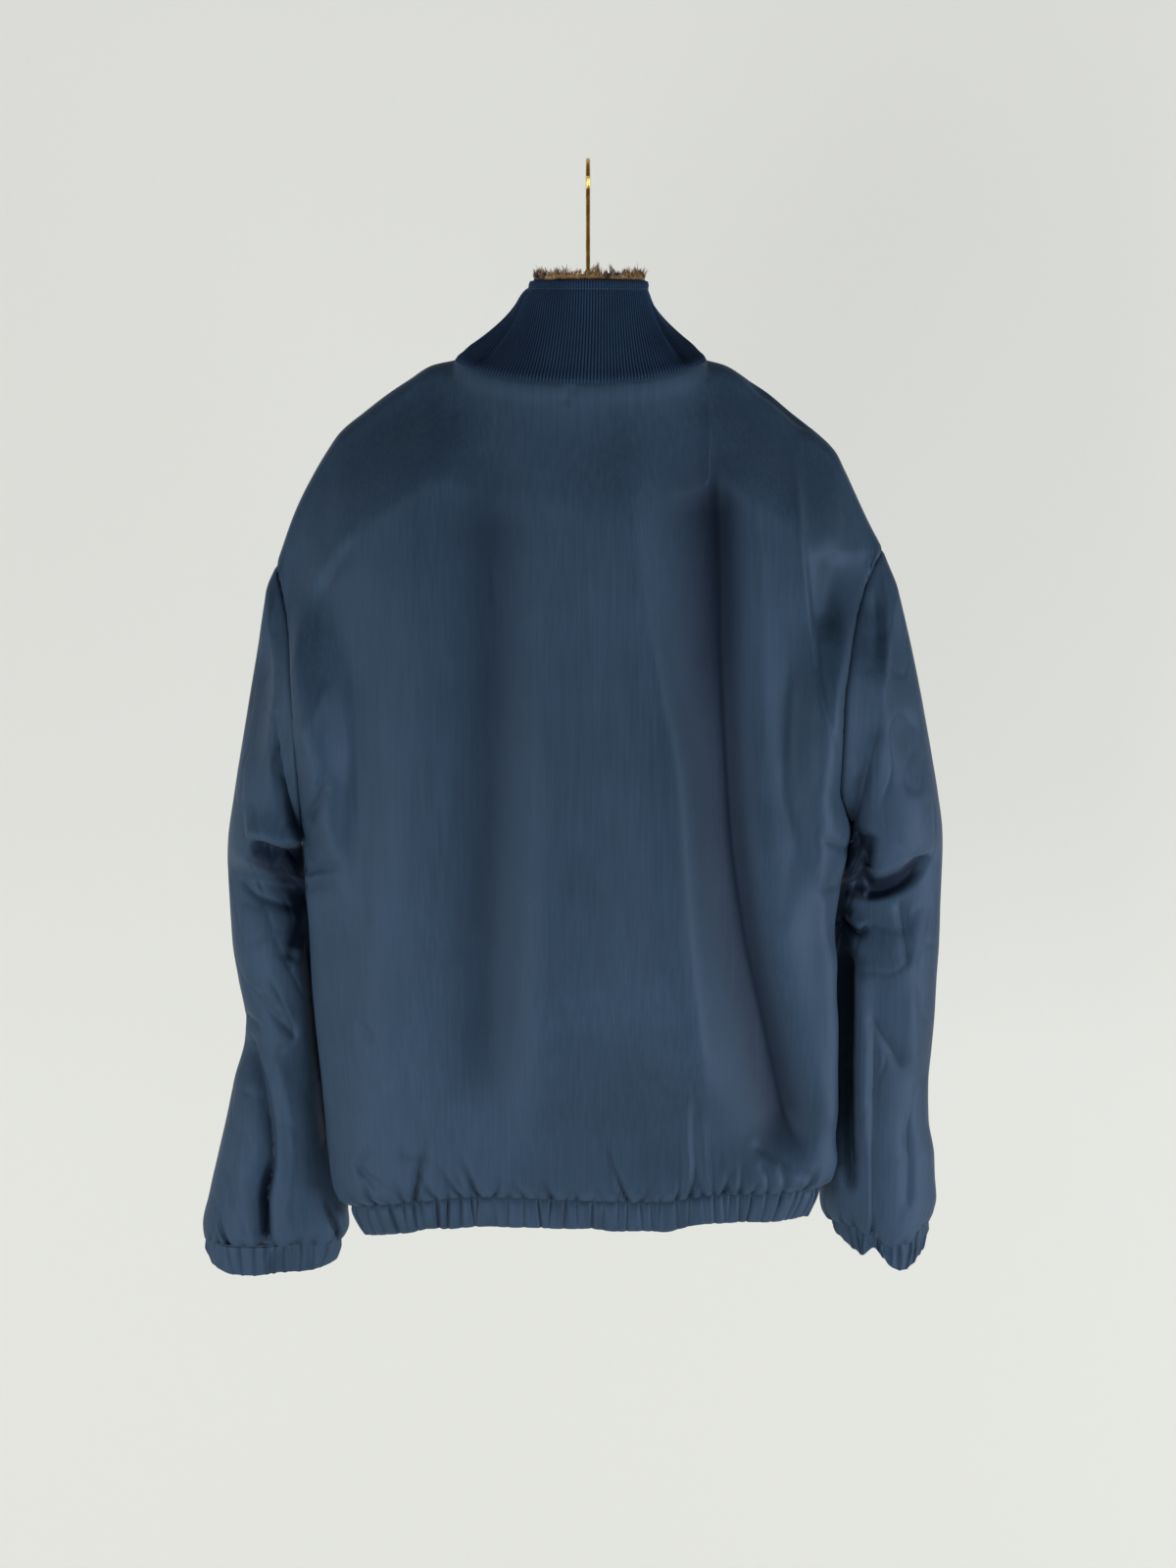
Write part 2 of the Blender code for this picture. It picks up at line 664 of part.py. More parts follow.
def closed_wall(name, collection, outer, inner, slot, round_closed=False):
    """Make one solid from a wall's outer and inner points."""
    rows, columns = outer.shape[:2]
    points = np.concatenate([outer.reshape(-1, 3), inner.reshape(-1, 3)])
    points[:, 0] += HANGING_OFFSET
    inside = rows * columns
    spans = columns if round_closed else columns - 1
    faces = []
    for row in range(rows - 1):
        for column in range(spans):
            a = row * columns + column
            b = row * columns + (column + 1) % columns
            faces.append((a, a + columns, b + columns, b))
            faces.append((a + inside, b + inside, b + columns + inside, a + columns + inside))
    for column in range(spans):
        following = (column + 1) % columns
        faces.append((column, following, following + inside, column + inside))
        a = (rows - 1) * columns + column
        b = (rows - 1) * columns + following
        faces.append((a, a + inside, b + inside, b))
    if not round_closed:
        for row in range(rows - 1):
            a = row * columns
            faces.append((a, a + inside, a + columns + inside, a + columns))
            b = a + columns - 1
            faces.append((b, b + columns, b + columns + inside, b + inside))
    mesh = bpy.data.meshes.new(name)
    mesh.from_pydata(points.tolist(), [], faces)
    return finish_mesh(name, collection, mesh, slot)


def finish_mesh(name, collection, mesh, slot):
    """Turn a mesh's faces outwards, shade it smooth and place it in the scene."""
    work = bmesh.new()
    work.from_mesh(mesh)
    bmesh.ops.triangulate(work, faces=work.faces[:])
    bmesh.ops.recalc_face_normals(work, faces=work.faces[:])
    work.to_mesh(mesh)
    work.free()
    mesh.shade_smooth()
    mesh.set_sharp_from_angle(angle=SHARP_ANGLE)
    mesh.materials.append(material(slot))
    piece = bpy.data.objects.new(name, mesh)
    collection.objects.link(piece)
    return piece


# ---------------------------------------------------------------- bands and collar


def split_edge(edge, parts, round_closed):
    """Divide each stretch of an edge into equal parts, on its straight chords."""
    following = np.roll(edge, -1, axis=0) if round_closed else edge[1:]
    starts = edge if round_closed else edge[:-1]
    points = [mix(a, b, part / parts) for a, b in zip(starts, following) for part in range(parts)]
    if not round_closed:
        points.append(edge[-1])
    return np.array(points)


def band_wall(outer_edge, inner_edge, parts, height, tuck, round_closed):
    """Rows of a gathered band hung from the seam that its cloth ends in."""
    outer_top = split_edge(outer_edge, parts, round_closed)
    inner_top = split_edge(inner_edge, parts, round_closed)
    outwards = outer_top - inner_top
    outwards[:, 2] = 0
    outwards /= np.linalg.norm(outwards, axis=1)[:, None]
    waves = np.where(np.arange(len(outer_top)) % 2 == 0, 0.0, 1.0)[:, None]
    fall = np.array([0.0, 0.0, -1.0])
    outer_rows = [outer_top + fall * SEAM_SETBACK]
    inner_rows = [inner_top + fall * SEAM_SETBACK]
    for share in (0.5, 1.0):
        inset = outwards * -tuck * share
        outer = outer_top + fall * height * share + inset
        outer_rows.append(outer + outwards * waves * GATHER_HEIGHT)
        level = inner_top.copy()
        level[:, :2] = outer_top[:, :2] - outwards[:, :2] * WALL
        level[:, 2] = outer_top[:, 2]
        inner_rows.append(level + fall * height * share + inset)
    return np.array(outer_rows), np.array(inner_rows)


def collar_top_edge(neck_edge):
    """Points of the collar's top edge above the points of the neck seam."""
    points = []
    for x, y, _ in neck_edge:
        half = neck_half(1 if x > 0 else -1)
        turn = math.atan2(x / half, y / (NECK_BACK_DEPTH if y > 0 else NECK_FRONT_DEPTH))
        behind = max(math.cos(turn), 0.0)
        before = max(-math.cos(turn), 0.0)
        height = mix(COLLAR_SIDE_HEIGHT, COLLAR_BACK_HEIGHT, behind)
        height = mix(height, COLLAR_FRONT_HEIGHT, before)
        deep = COLLAR_TOP_BACK if y > 0 else COLLAR_TOP_FRONT
        across = COLLAR_TOP_LEAN * (1 - before) + COLLAR_TOP_HALF * math.sin(turn)
        points.append((across, deep * math.cos(turn), height))
    points = np.array(points)
    points[0, :2] = neck_edge[0, :2]
    points[-1, :2] = neck_edge[-1, :2]
    return points


def collar_grid(neck_edge):
    """Rows of the collar, from the neck seam up to its top edge."""
    top_edge = collar_top_edge(neck_edge)
    rows = []
    for row in range(COLLAR_ROWS + 1):
        share = row / COLLAR_ROWS
        drawn_in = 1 - (1 - share) ** COLLAR_FLARE
        points = mix(neck_edge, top_edge, drawn_in)
        points[:, 2] = mix(neck_edge[:, 2], top_edge[:, 2], share)
        rows.append(points)
    return np.array(rows)


def pile_wall(collar_inner):
    """The pile lining: it follows the collar's inside and stands above its top edge."""
    outer = collar_inner.copy()
    inner = collar_inner.copy()
    across = np.gradient(outer, axis=1)
    upwards = np.gradient(outer, axis=0)
    step = np.cross(across, upwards)
    step /= np.linalg.norm(step, axis=2)[:, :, None]
    towards_middle = -np.sign(np.sum(step[:, :, :2] * outer[:, :, :2], axis=2))[:, :, None]
    step *= towards_middle
    outer = outer + step * SEAM_GAP
    rows = len(outer)
    for row in range(rows):
        share = ease(2 * row / (rows - 1))
        inner_step = step[row] * mix(PILE_SEAM_THICKNESS, PILE_THICKNESS, share)
        inner[row] = outer[row] + inner_step
    stand = np.array([0.0, 0.0, PILE_STAND])
    crown = np.array([0.0, 0.0, PILE_CROWN])
    outer_top = outer[-1:] + stand
    inner_top = inner[-1:] + stand
    middle = mix(outer_top, inner_top, 0.5) + crown
    outer = np.concatenate([outer, outer_top])
    inner = np.concatenate([inner, inner_top])
    outer[-1] = mix(outer[-1], middle[0], PILE_ROUNDING)
    inner[-1] = mix(inner[-1], middle[0], PILE_ROUNDING)
    return outer, inner


# ---------------------------------------------------------------- zip


def zip_line(front, waist_outer, collar):
    """The middle front line from the waistband's foot up to the collar's top."""
    below = waist_outer[::-1]
    line = np.concatenate([below[:-1], front[::-1, 0], collar[1:, 0]])
    return line


def zip_wall(side, line):
    """One half of the closed zip: a flat tape with its teeth, beside a front's edge."""
    inner_edge = side * SEAM_SETBACK
    outer_edge = side * (ZIP_HALF - SEAM_GAP)
    behind = np.array([0.0, ZIP_THICKNESS, 0.0])
    outer = np.stack([line, line], axis=1)
    outer[:, 0, 0] = inner_edge
    outer[:, 1, 0] = outer_edge
    return outer, outer + behind


def block(name, size, centre):
    """A plain box."""
    bpy.ops.mesh.primitive_cube_add(size=1, location=centre)
    made = bpy.context.object
    made.name = name
    made.scale = size
    bpy.ops.object.transform_apply(location=False, rotation=False, scale=True)
    return made


def rod(name, radius, length, centre):
    """A plain cylinder along X."""
    bpy.ops.mesh.primitive_cylinder_add(
        vertices=ROD_SIDES,
        radius=radius,
        depth=length,
        location=centre,
        rotation=(0, math.pi / 2, 0),
    )
    made = bpy.context.object
    made.name = name
    return made


def combine(base, other, operation):
    """Join or cut one mesh with another and remove the other."""
    change = base.modifiers.new(operation.title(), "BOOLEAN")
    change.operation = operation
    change.object = other
    change.solver = "EXACT"
    bpy.context.view_layer.update()
    graph = bpy.context.evaluated_depsgraph_get()
    result = bpy.data.meshes.new_from_object(base.evaluated_get(graph))
    base.modifiers.clear()
    base.data = result
    bpy.data.objects.remove(other, do_unlink=True)


def move_to(collection, piece, slot):
    """Put a finished piece in the collection with its material."""
    for old in list(piece.users_collection):
        old.objects.unlink(piece)
    collection.objects.link(piece)
    piece.data.materials.clear()
    piece.data.materials.append(material(slot))


def make_slider(collection, seat, pin):
    """The zip's slider: a body on the chain, and two lugs with the pull tab's pin."""
    face = seat[1] - SEAM_GAP - SLIDER_SIZE[1]
    body_centre = (seat[0], face + SLIDER_SIZE[1] / 2, seat[2])
    slider = block("zip_slider", SLIDER_SIZE, body_centre)
    for side in (-1, 1):
        lug_centre = (seat[0] + side * LUG_SPREAD, face + LUG_ROOT - LUG_SIZE[1] / 2, pin[2])
        lug = block("lug", LUG_SIZE, lug_centre)
        combine(slider, lug, "UNION")
    pin_rod = rod("pin", PIN_RADIUS, 2 * LUG_SPREAD, pin)
    combine(slider, pin_rod, "UNION")
    move_to(collection, slider, "slider_metal")


def make_pull(collection, pin):
    """The pull tab: an eye round the slider's pin and a plate that hangs from it."""
    hinge = bpy.data.objects.new("pull_hinge", None)
    hinge.location = pin
    collection.objects.link(hinge)
    pull = rod("zip_pull", EYE_RADIUS, EYE_LENGTH, pin)
    plate_centre = (pin[0], pin[1], pin[2] - EYE_BORE - PULL_BELOW_BORE - PULL_SIZE[2] / 2)
    plate = block("plate", PULL_SIZE, plate_centre)
    combine(pull, plate, "UNION")
    bore = rod("bore", EYE_BORE, 2 * EYE_LENGTH, pin)
    combine(pull, bore, "DIFFERENCE")
    move_to(collection, pull, "slider_metal")
    bpy.context.view_layer.update()
    pull.parent = hinge
    pull.matrix_parent_inverse = hinge.matrix_world.inverted()


# ---------------------------------------------------------------- hanger and hook


def hanger_top(across):
    """Height of the hanger's upper edge: under the neck, then just under the shoulders."""
    reach = max(across, HANGER_CONTACT)
    under_cloth = min(
        top_height(1, reach - HANGING_OFFSET, True),
        top_height(-1, reach + HANGING_OFFSET, True),
    )
    under_cloth -= WALL + HANGER_CLEARANCE
    if across >= HANGER_CONTACT:
        return under_cloth
    if across >= NECK_LEFT:
        share = (across - NECK_LEFT) / (HANGER_CONTACT - NECK_LEFT)
        return mix(HANGER_NECK_TOP, under_cloth, share)
    return mix(HANGER_CENTRE_TOP, HANGER_NECK_TOP, (across / NECK_LEFT) ** HANGER_SLOPE)


def hanger_ring(number):
    """The bar's outline at one station, counted from the middle."""
    share = abs(number) / HANGER_STATIONS
    across = HANGER_END * math.copysign(share, number)
    depth = mix(HANGER_CENTRE_DEPTH, HANGER_END_DEPTH, share)
    thickness = HANGER_HALF_THICKNESS
    top = hanger_top(abs(across))
    if share == 1:
        top -= depth * HANGER_TIP_DROP
        thickness *= HANGER_TIP_SHARE
        depth *= HANGER_TIP_SHARE
    right = [(across, wide * thickness, top - down * depth) for wide, down in HANGER_PROFILE]
    left = [(across, -y, z) for _, y, z in right[-2:0:-1]]
    return right + left


def make_hanger(collection):
    """A wooden hanger: one bar that is deep at the hook and slim at its rounded ends."""
    rings = [hanger_ring(number) for number in range(-HANGER_STATIONS, HANGER_STATIONS + 1)]
    count = len(rings[0])
    points = [point for ring in rings for point in ring]
    faces = []
    for station in range(len(rings) - 1):
        for corner in range(count):
            a = station * count + corner
            b = station * count + (corner + 1) % count
            faces.append((a, b, b + count, a + count))
    last = (len(rings) - 1) * count
    faces.append(tuple(range(count)))
    faces.append(tuple(range(last, last + count)))
    mesh = bpy.data.meshes.new("hanger")
    mesh.from_pydata(points, [], faces)
    finish_mesh("hanger", collection, mesh, "hanger_wood")


def hook_route():
    """The wire's centre line: up the stem, aside, and round the bend to the tip."""
    radius = HOOK_BEND + HOOK_WIRE
    bend = []
    for step in range(HOOK_BEND_STEPS + 1):
        angle = mix(HOOK_BEND_START, HOOK_BEND_END, step / HOOK_BEND_STEPS)
        bend.append((0.0, radius * math.sin(angle), radius * math.cos(angle) - HOOK_BEND))
    neck = []
    for step in range(HOOK_NECK_STEPS):
        share = step / HOOK_NECK_STEPS
        height = mix(HOOK_STEM_TOP, bend[0][2], share)
        neck.append((0.0, bend[0][1] * ease(share), height))
    return [(0.0, 0.0, HOOK_STEM_FOOT)] + neck + bend


def make_hook(collection):
    """A brass wire: a straight stem, a bend over the rod and a rounded tip."""
    route = hook_route()
    curve = bpy.data.curves.new("hook", "CURVE")
    curve.dimensions = "3D"
    curve.bevel_depth = HOOK_WIRE
    curve.bevel_resolution = 2
    curve.use_fill_caps = True
    spline = curve.splines.new("POLY")
    spline.points.add(len(route) - 1)
    for target, point in zip(spline.points, route):
        target.co = (*point, 1.0)
    hook = bpy.data.objects.new("hook", curve)
    curve.materials.append(material("hook_brass"))
    collection.objects.link(hook)


# ---------------------------------------------------------------- the jacket


def outer_cloth():
    """Return the outer points of the back, the fronts, the sleeves and the collar."""
    back = back_grid()
    fronts = {side: front_grid(side) for side in (1, -1)}
    tables = {1: (LEFT_RINGS, LEFT_SLEEVE_FOLDS), -1: (RIGHT_RINGS, RIGHT_SLEEVE_FOLDS)}
    sleeves = {}
    for side in (1, -1):
        loop = armhole_loop(back, fronts[side], side)
        sleeves[side] = sleeve_grid(side, *tables[side], loop)
    right_neck = fronts[-1][0, : NECK_COLUMNS + 1]
    back_neck = back[0, SHOULDER_COLUMNS + 1 : -SHOULDER_COLUMNS]
    left_neck = fronts[1][0, :NECK_COLUMNS][::-1]
    collar = collar_grid(np.concatenate([right_neck, back_neck, left_neck]))
    return back, fronts, sleeves, collar


def seam_normals(back, fronts, sleeves, collar):
    """Return the normal at every point, shared by the pieces that meet there."""
    normals = {}
    add_normals(normals, back, False, 1)
    add_normals(normals, collar, False, -1)
    for side in (1, -1):
        add_normals(normals, fronts[side], False, -side)
        add_normals(normals, sleeves[side], True, -side)
    return normals


def round_the_waist(back, fronts):
    """The lower edges of the right front, the back and the left front, as one line."""
    return np.concatenate([fronts[-1][-1], back[-1, 1:], fronts[1][-1][:-1][::-1]])


def make_cloth(collection):
    """Make the panels, the sleeves, the bands, the collar and the zip's two halves."""
    back, fronts, sleeves, collar = outer_cloth()
    normals = seam_normals(back, fronts, sleeves, collar)
    back_inner = inner_face(back, normals, WALL)
    collar_inner = inner_face(collar, normals, WALL)
    front_inner = {side: inner_face(fronts[side], normals, WALL) for side in fronts}
    sleeve_inner = {side: inner_face(sleeves[side], normals, WALL) for side in sleeves}
    for side in (1, -1):
        square_to_zip(fronts[side], front_inner[side], 0)
    for column in (0, -1):
        square_to_zip(collar, collar_inner, column)

    waist_edge = round_the_waist(back, fronts)
    waist_inner_edge = round_the_waist(back_inner, front_inner)
    waist = band_wall(
        waist_edge, waist_inner_edge, WAISTBAND_PARTS, WAISTBAND_HEIGHT, WAISTBAND_TUCK, False
    )
    closed_wall("waistband", collection, *waist, "shell_cloth")
    closed_wall("collar_pile", collection, *pile_wall(collar_inner), "pile")
    zip_edge = zip_line(fronts[1], waist[0][:, -1], collar[:, ::-1])

    for side in (1, -1):
        name = side_name(side)
        front, sleeve = fronts[side], sleeves[side]
        cuff = band_wall(
            sleeve[-1], sleeve_inner[side][-1], CUFF_PARTS, CUFF_HEIGHT, CUFF_TUCK, True
        )
        closed_wall(f"cuff_{name}", collection, *cuff, "shell_cloth", True)
        closed_wall(f"zip_{name}", collection, *zip_wall(side, zip_edge), "zip_chain")
        set_back(front, front_inner[side], top=True, foot=True, end=True)
        closed_wall(f"front_{name}", collection, front, front_inner[side], "shell_cloth")
        for length in SLEEVE_LENGTHS:
            rows = slice(length.first, length.last + 1)
            outer, inner = sleeve[rows].copy(), sleeve_inner[side][rows].copy()
            set_back(outer, inner, top=True, foot=True)
            part = f"sleeve_{name}_{length.name}"
            closed_wall(part, collection, outer, inner, "shell_cloth", True)

    set_back(back, back_inner, top=True, foot=True, start=True, end=True)
    closed_wall("back", collection, back, back_inner, "shell_cloth")
    set_back(collar, collar_inner, top=True)
    closed_wall("collar", collection, collar, collar_inner, "rib_knit")


def make_zip_hardware(collection):
    """Make the slider at the top of the closed zip, and its pull tab."""
    height = COLLAR_FRONT_HEIGHT - SLIDER_BELOW_COLLAR_TOP
    seat = (HANGING_OFFSET, -COLLAR_TOP_FRONT, height)
    pin = (HANGING_OFFSET, seat[1] - SEAM_GAP - SLIDER_SIZE[1] - PIN_STANDOFF, height)
    make_slider(collection, seat, pin)
    make_pull(collection, pin)


def main():
    """Build the whole jacket on its hanger."""
    clear_scene()
    collection = make_collection()
    make_cloth(collection)
    make_zip_hardware(collection)
    make_hanger(collection)
    make_hook(collection)


main()
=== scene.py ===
# %% [markdown]
# # A hanging blouson jacket, seen from behind
#
# A loose, zipped jacket of smooth woven cloth hangs on a wooden hanger. It is lined with
# printed pile, which shows above the collar. The cells below follow the order in which a
# maker thinks: the pattern pieces first, then the folds that hanging gives them, then the
# gathered bands, the knitted collar, the pile, the zip, and last the finishes and the light.
#
# Everything is in metres. +Z is up, the jacket's back faces +Y, and the wearer's left arm
# is at +X.

from collections import namedtuple
import math

import bmesh
import bpy
import numpy as np
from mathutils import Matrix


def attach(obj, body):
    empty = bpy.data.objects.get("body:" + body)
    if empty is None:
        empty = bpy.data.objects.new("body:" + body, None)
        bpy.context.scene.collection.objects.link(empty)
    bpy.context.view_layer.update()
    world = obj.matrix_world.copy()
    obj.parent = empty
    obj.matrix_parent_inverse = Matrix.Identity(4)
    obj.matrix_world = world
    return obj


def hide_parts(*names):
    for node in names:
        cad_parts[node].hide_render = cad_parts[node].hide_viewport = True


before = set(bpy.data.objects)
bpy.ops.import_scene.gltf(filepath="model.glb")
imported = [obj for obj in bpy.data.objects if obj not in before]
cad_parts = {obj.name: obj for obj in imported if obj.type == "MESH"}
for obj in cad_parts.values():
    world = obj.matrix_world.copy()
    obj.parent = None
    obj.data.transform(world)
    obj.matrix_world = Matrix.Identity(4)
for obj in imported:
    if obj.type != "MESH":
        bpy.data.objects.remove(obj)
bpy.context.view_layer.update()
bpy.context.scene.view_settings.view_transform = "Standard"

# %% [markdown]
# ## Camera
#
# The jacket is seen from a little above its middle, square on from behind. A 45 mm lens
# about 1.7 m away gives the same gentle perspective. The camera comes first, because each
# fold is judged through it.

# %% Camera
LENS = 45
CAMERA_PLACE = (0.0, 1.66, -0.2065)
CAMERA_TURN = (math.radians(79.5), 0.0, math.radians(180))

camera = bpy.data.objects.new("camera", bpy.data.cameras.new("camera"))
camera.data.lens = LENS
camera.data.sensor_width = 36
camera.location = CAMERA_PLACE
camera.rotation_euler = CAMERA_TURN
bpy.context.scene.collection.objects.link(camera)
bpy.context.scene.camera = camera

# %% [markdown]
# ## Reading a pattern's measurements
#
# A pattern is a set of measurements at named heights. Between two of them the edge runs on
# a smooth line. A line that never overshoots its knots is used here, so that a waist that is
# drawn narrow stays as narrow as it was measured.

# %% Smooth lines through measurements
MM = 0.001


def ease(amount):
    """Rise smoothly from 0 to 1 as the amount does."""
    amount = np.clip(amount, 0.0, 1.0)
    return amount * amount * (3 - 2 * amount)


def mix(first, second, share):
    """Return what lies this share of the way from the first to the second."""
    return first + (second - first) * share


def smooth_line(rows, key, value, at):
    """Read a table's column at any key, on a smooth line that never overshoots."""
    rows = sorted(rows, key=lambda row: getattr(row, key))
    knots = np.array([getattr(row, key) for row in rows], dtype=float)
    values = np.array([getattr(row, value) for row in rows], dtype=float)
    at = np.clip(at, knots[0], knots[-1])
    slopes = np.diff(values) / np.diff(knots)
    product = slopes[:-1] * slopes[1:]
    total = np.where(product > 0, slopes[:-1] + slopes[1:], 1.0)
    tangents = np.concatenate([slopes[:1], np.where(product > 0, 2 * product / total, 0.0), slopes[-1:]])
    index = np.clip(np.searchsorted(knots, at, side="right") - 1, 0, len(knots) - 2)
    step = knots[index + 1] - knots[index]
    t = (at - knots[index]) / step
    rest = 1 - t
    return (
        values[index] * rest * rest * (1 + 2 * t)
        + values[index + 1] * t * t * (3 - 2 * t)
        + tangents[index] * step * t * rest * rest
        - tangents[index + 1] * step * t * t * rest
    )


# %% [markdown]
# ## The body's form
#
# On the real jacket the back is one piece of cloth and each front another. Over a hanger
# they turn on the shoulder line and fall almost straight, and the armholes pull them out
# sideways. The tables give the shoulder line, the widths and the depths. The same few rules
# as in the solids turn them into a surface, which is sampled here much more finely.

# %% Measurements of the body
HANGING_OFFSET = 0.005
NECK_HALF = {1: 0.1054, -1: 0.1032}
NECK_TOP = -0.1568
NECK_DEPTH = {True: 0.055, False: -0.058}
NECK_DROP = {True: 0.0201, False: 0.065}
RIDGE_RADIUS = 0.0125
RIDGE_FALL = 0.10
TIP_HEIGHT = {1: -0.326, -1: -0.3135}
ARMPIT_HEIGHT = -0.557
ARMHOLE_DEPTH = {True: 0.046, False: -0.040}
SIDE_NAME = {1: "left", -1: "right"}
ZIP_HALF = 0.0078


def table(kind, *rows):
    """Rows of numbers as named measurements."""
    return [kind(*row) for row in rows]


Ridge = namedtuple("Ridge", "height left right")
RIDGE = table(
    Ridge,
    (-0.1568, 0.1054, 0.1032),
    (-0.1607, 0.1233, 0.1178),
    (-0.1735, 0.1446, 0.1391),
    (-0.1830, 0.1594, 0.1539),
    (-0.1990, 0.1809, 0.1738),
    (-0.2151, 0.2009, 0.1945),
    (-0.2312, 0.2127, 0.2112),
    (-0.2474, 0.2229, 0.2198),
    (-0.2799, 0.2402, 0.2362),
    (-0.3126, 0.2527, 0.2519),
    (-0.3260, 0.2565, 0.2560),
)

Width = namedtuple("Width", "height left right")
WIDTHS = table(
    Width,
    (-0.3135, 0.2530, 0.2522),
    (-0.3260, 0.2565, 0.2450),
    (-0.3450, 0.2530, 0.2372),
    (-0.3700, 0.2480, 0.2292),
    (-0.4000, 0.2436, 0.2226),
    (-0.4400, 0.2412, 0.2179),
    (-0.5100, 0.2398, 0.2180),
    (-0.5570, 0.2405, 0.2310),
    (-0.5900, 0.2400, 0.2255),
    (-0.6500, 0.2368, 0.2172),
    (-0.6900, 0.2355, 0.2155),
    (-0.7250, 0.2333, 0.2183),
    (-0.7700, 0.2296, 0.2203),
    (-0.8100, 0.2268, 0.2225),
    (-0.8450, 0.2248, 0.2222),
    (-0.8720, 0.2180, 0.2142),
    (-0.8930, 0.2075, 0.2000),
)

Depth = namedtuple("Depth", "height back front side front_taper")
DEPTHS = table(
    Depth,
    (-0.157, 0.056, 0.058, 0.000, 0.6),
    (-0.250, 0.062, 0.064, 0.000, 0.6),
    (-0.350, 0.069, 0.070, 0.000, 0.6),
    (-0.450, 0.073, 0.075, 0.002, 0.6),
    (-0.557, 0.071, 0.076, 0.006, 0.8),
    (-0.620, 0.068, 0.074, 0.009, 1.3),
    (-0.700, 0.062, 0.068, 0.011, 1.9),
    (-0.830, 0.050, 0.056, 0.012, 1.9),
    (-0.893, 0.042, 0.046, 0.010, 1.0),
)

Hem = namedtuple("Hem", "across height")
BACK_HEM = table(
    Hem,
    (-0.210, -0.875),
    (-0.165, -0.874),
    (-0.120, -0.872),
    (-0.065, -0.878),
    (0.000, -0.876),
    (0.080, -0.873),
    (0.150, -0.882),
    (0.205, -0.893),
)
FRONT_HEM_MIDDLE = -0.878
HEM_END_HEIGHT = {1: -0.893, -1: -0.875}

# %% Half widths and edges


def tip_half(side):
    """Half width at the shoulder tip, where shoulder seam and armhole meet."""
    return float(smooth_line(RIDGE, "height", SIDE_NAME[side], TIP_HEIGHT[side]))


def body_half(side, height):
    """Half width of the body at a height."""
    widest = np.minimum(smooth_line(WIDTHS, "height", SIDE_NAME[side], height), tip_half(side))
    return np.where(height >= TIP_HEIGHT[side], tip_half(side), widest)


def neck_round(side, across):
    """Share of the neck's depth at a distance from the middle."""
    return np.sqrt(np.maximum(0.0, 1 - (across / NECK_HALF[side]) ** 2))


def top_height(side, across, back):
    """Height of the panel's upper edge: the neck seam, then the shoulder seam."""
    neck = NECK_TOP - NECK_DROP[back] * neck_round(side, across) ** 1.5
    by_distance = [Ridge(row.height, getattr(row, SIDE_NAME[side]), 0) for row in RIDGE]
    return np.where(across < NECK_HALF[side], neck, smooth_line(by_distance, "left", "height", across))


def hem_height(side, across, back):
    """Height of the waistband's seam."""
    if back:
        return smooth_line(BACK_HEM, "across", "height", side * across)
    end = HEM_END_HEIGHT[side]
    spread = np.minimum(across / body_half(side, end), 1.0)
    return mix(end, FRONT_HEM_MIDDLE, (1 - spread**2) ** 0.8)


def column_across(side, share, height, start=0.0):
    """Distance from the middle of the column with this share of the half width."""
    straight = np.mean([body_half(side, height + away) for away in (-0.06, -0.03, 0, 0.03, 0.06)], axis=0)
    at_edge = body_half(side, height) - straight
    return start + share * (straight - start) + share**5 * at_edge


def body_depth(side, across, top_across, height, back):
    """Y of the body's outer face, without its folds."""
    spread = np.minimum(across / body_half(side, height), 1.0)
    edge = smooth_line(DEPTHS, "height", "side", height)
    if back:
        middle = smooth_line(DEPTHS, "height", "back", height)
        share = (1 - spread**3) ** 0.6
    else:
        middle = -smooth_line(DEPTHS, "height", "front", height)
        share = (1 - spread**2.4) ** smooth_line(DEPTHS, "height", "front_taper", height)
    foot = ARMPIT_HEIGHT - 0.6 * (1 - spread)
    along = np.clip((TIP_HEIGHT[side] - height) / (TIP_HEIGHT[side] - foot), 0.0, 1.0)
    bow = ARMHOLE_DEPTH[back] * np.sin(np.pi * along) ** (0.9 + 6 * (1 - spread))
    hanging = mix(edge, middle, share) + bow * ease(1 - (1 - spread) / 0.24)
    below = np.maximum(0.0, top_height(side, top_across, back) - height)
    turn = np.sqrt(RIDGE_RADIUS**2 - (RIDGE_RADIUS - np.minimum(below, RIDGE_RADIUS)) ** 2)
    start = np.hypot(NECK_DEPTH[back] * neck_round(side, top_across), turn)
    return mix(start if back else -start, hanging, ease(below / RIDGE_FALL))


# %% [markdown]
# ## Grids of points
#
# A panel is a grid: rows run across the cloth and columns down it. Numpy works out all of
# its points at once. Rows lie closer together at the shoulder, where the cloth turns over
# the hanger, and columns follow the pattern's edge, so the seams stay clean.

# %% Panels as grids
NECK_COLUMNS = 42
SHOULDER_COLUMNS = 82
PANEL_ROWS = 280
FRONT_ROWS = 220
ROW_CLOSENESS = 1.3


def top_columns(side, neck_columns, shoulder_columns, start):
    """Distances from the middle of a panel's columns along its upper edge."""
    share = np.arange(neck_columns) / neck_columns
    share = (share + np.sin(share * np.pi / 2)) / 2
    over_neck = mix(start, NECK_HALF[side], share)
    over_shoulder = np.linspace(NECK_HALF[side], tip_half(side), shoulder_columns + 1)
    return np.concatenate([over_neck, over_shoulder])


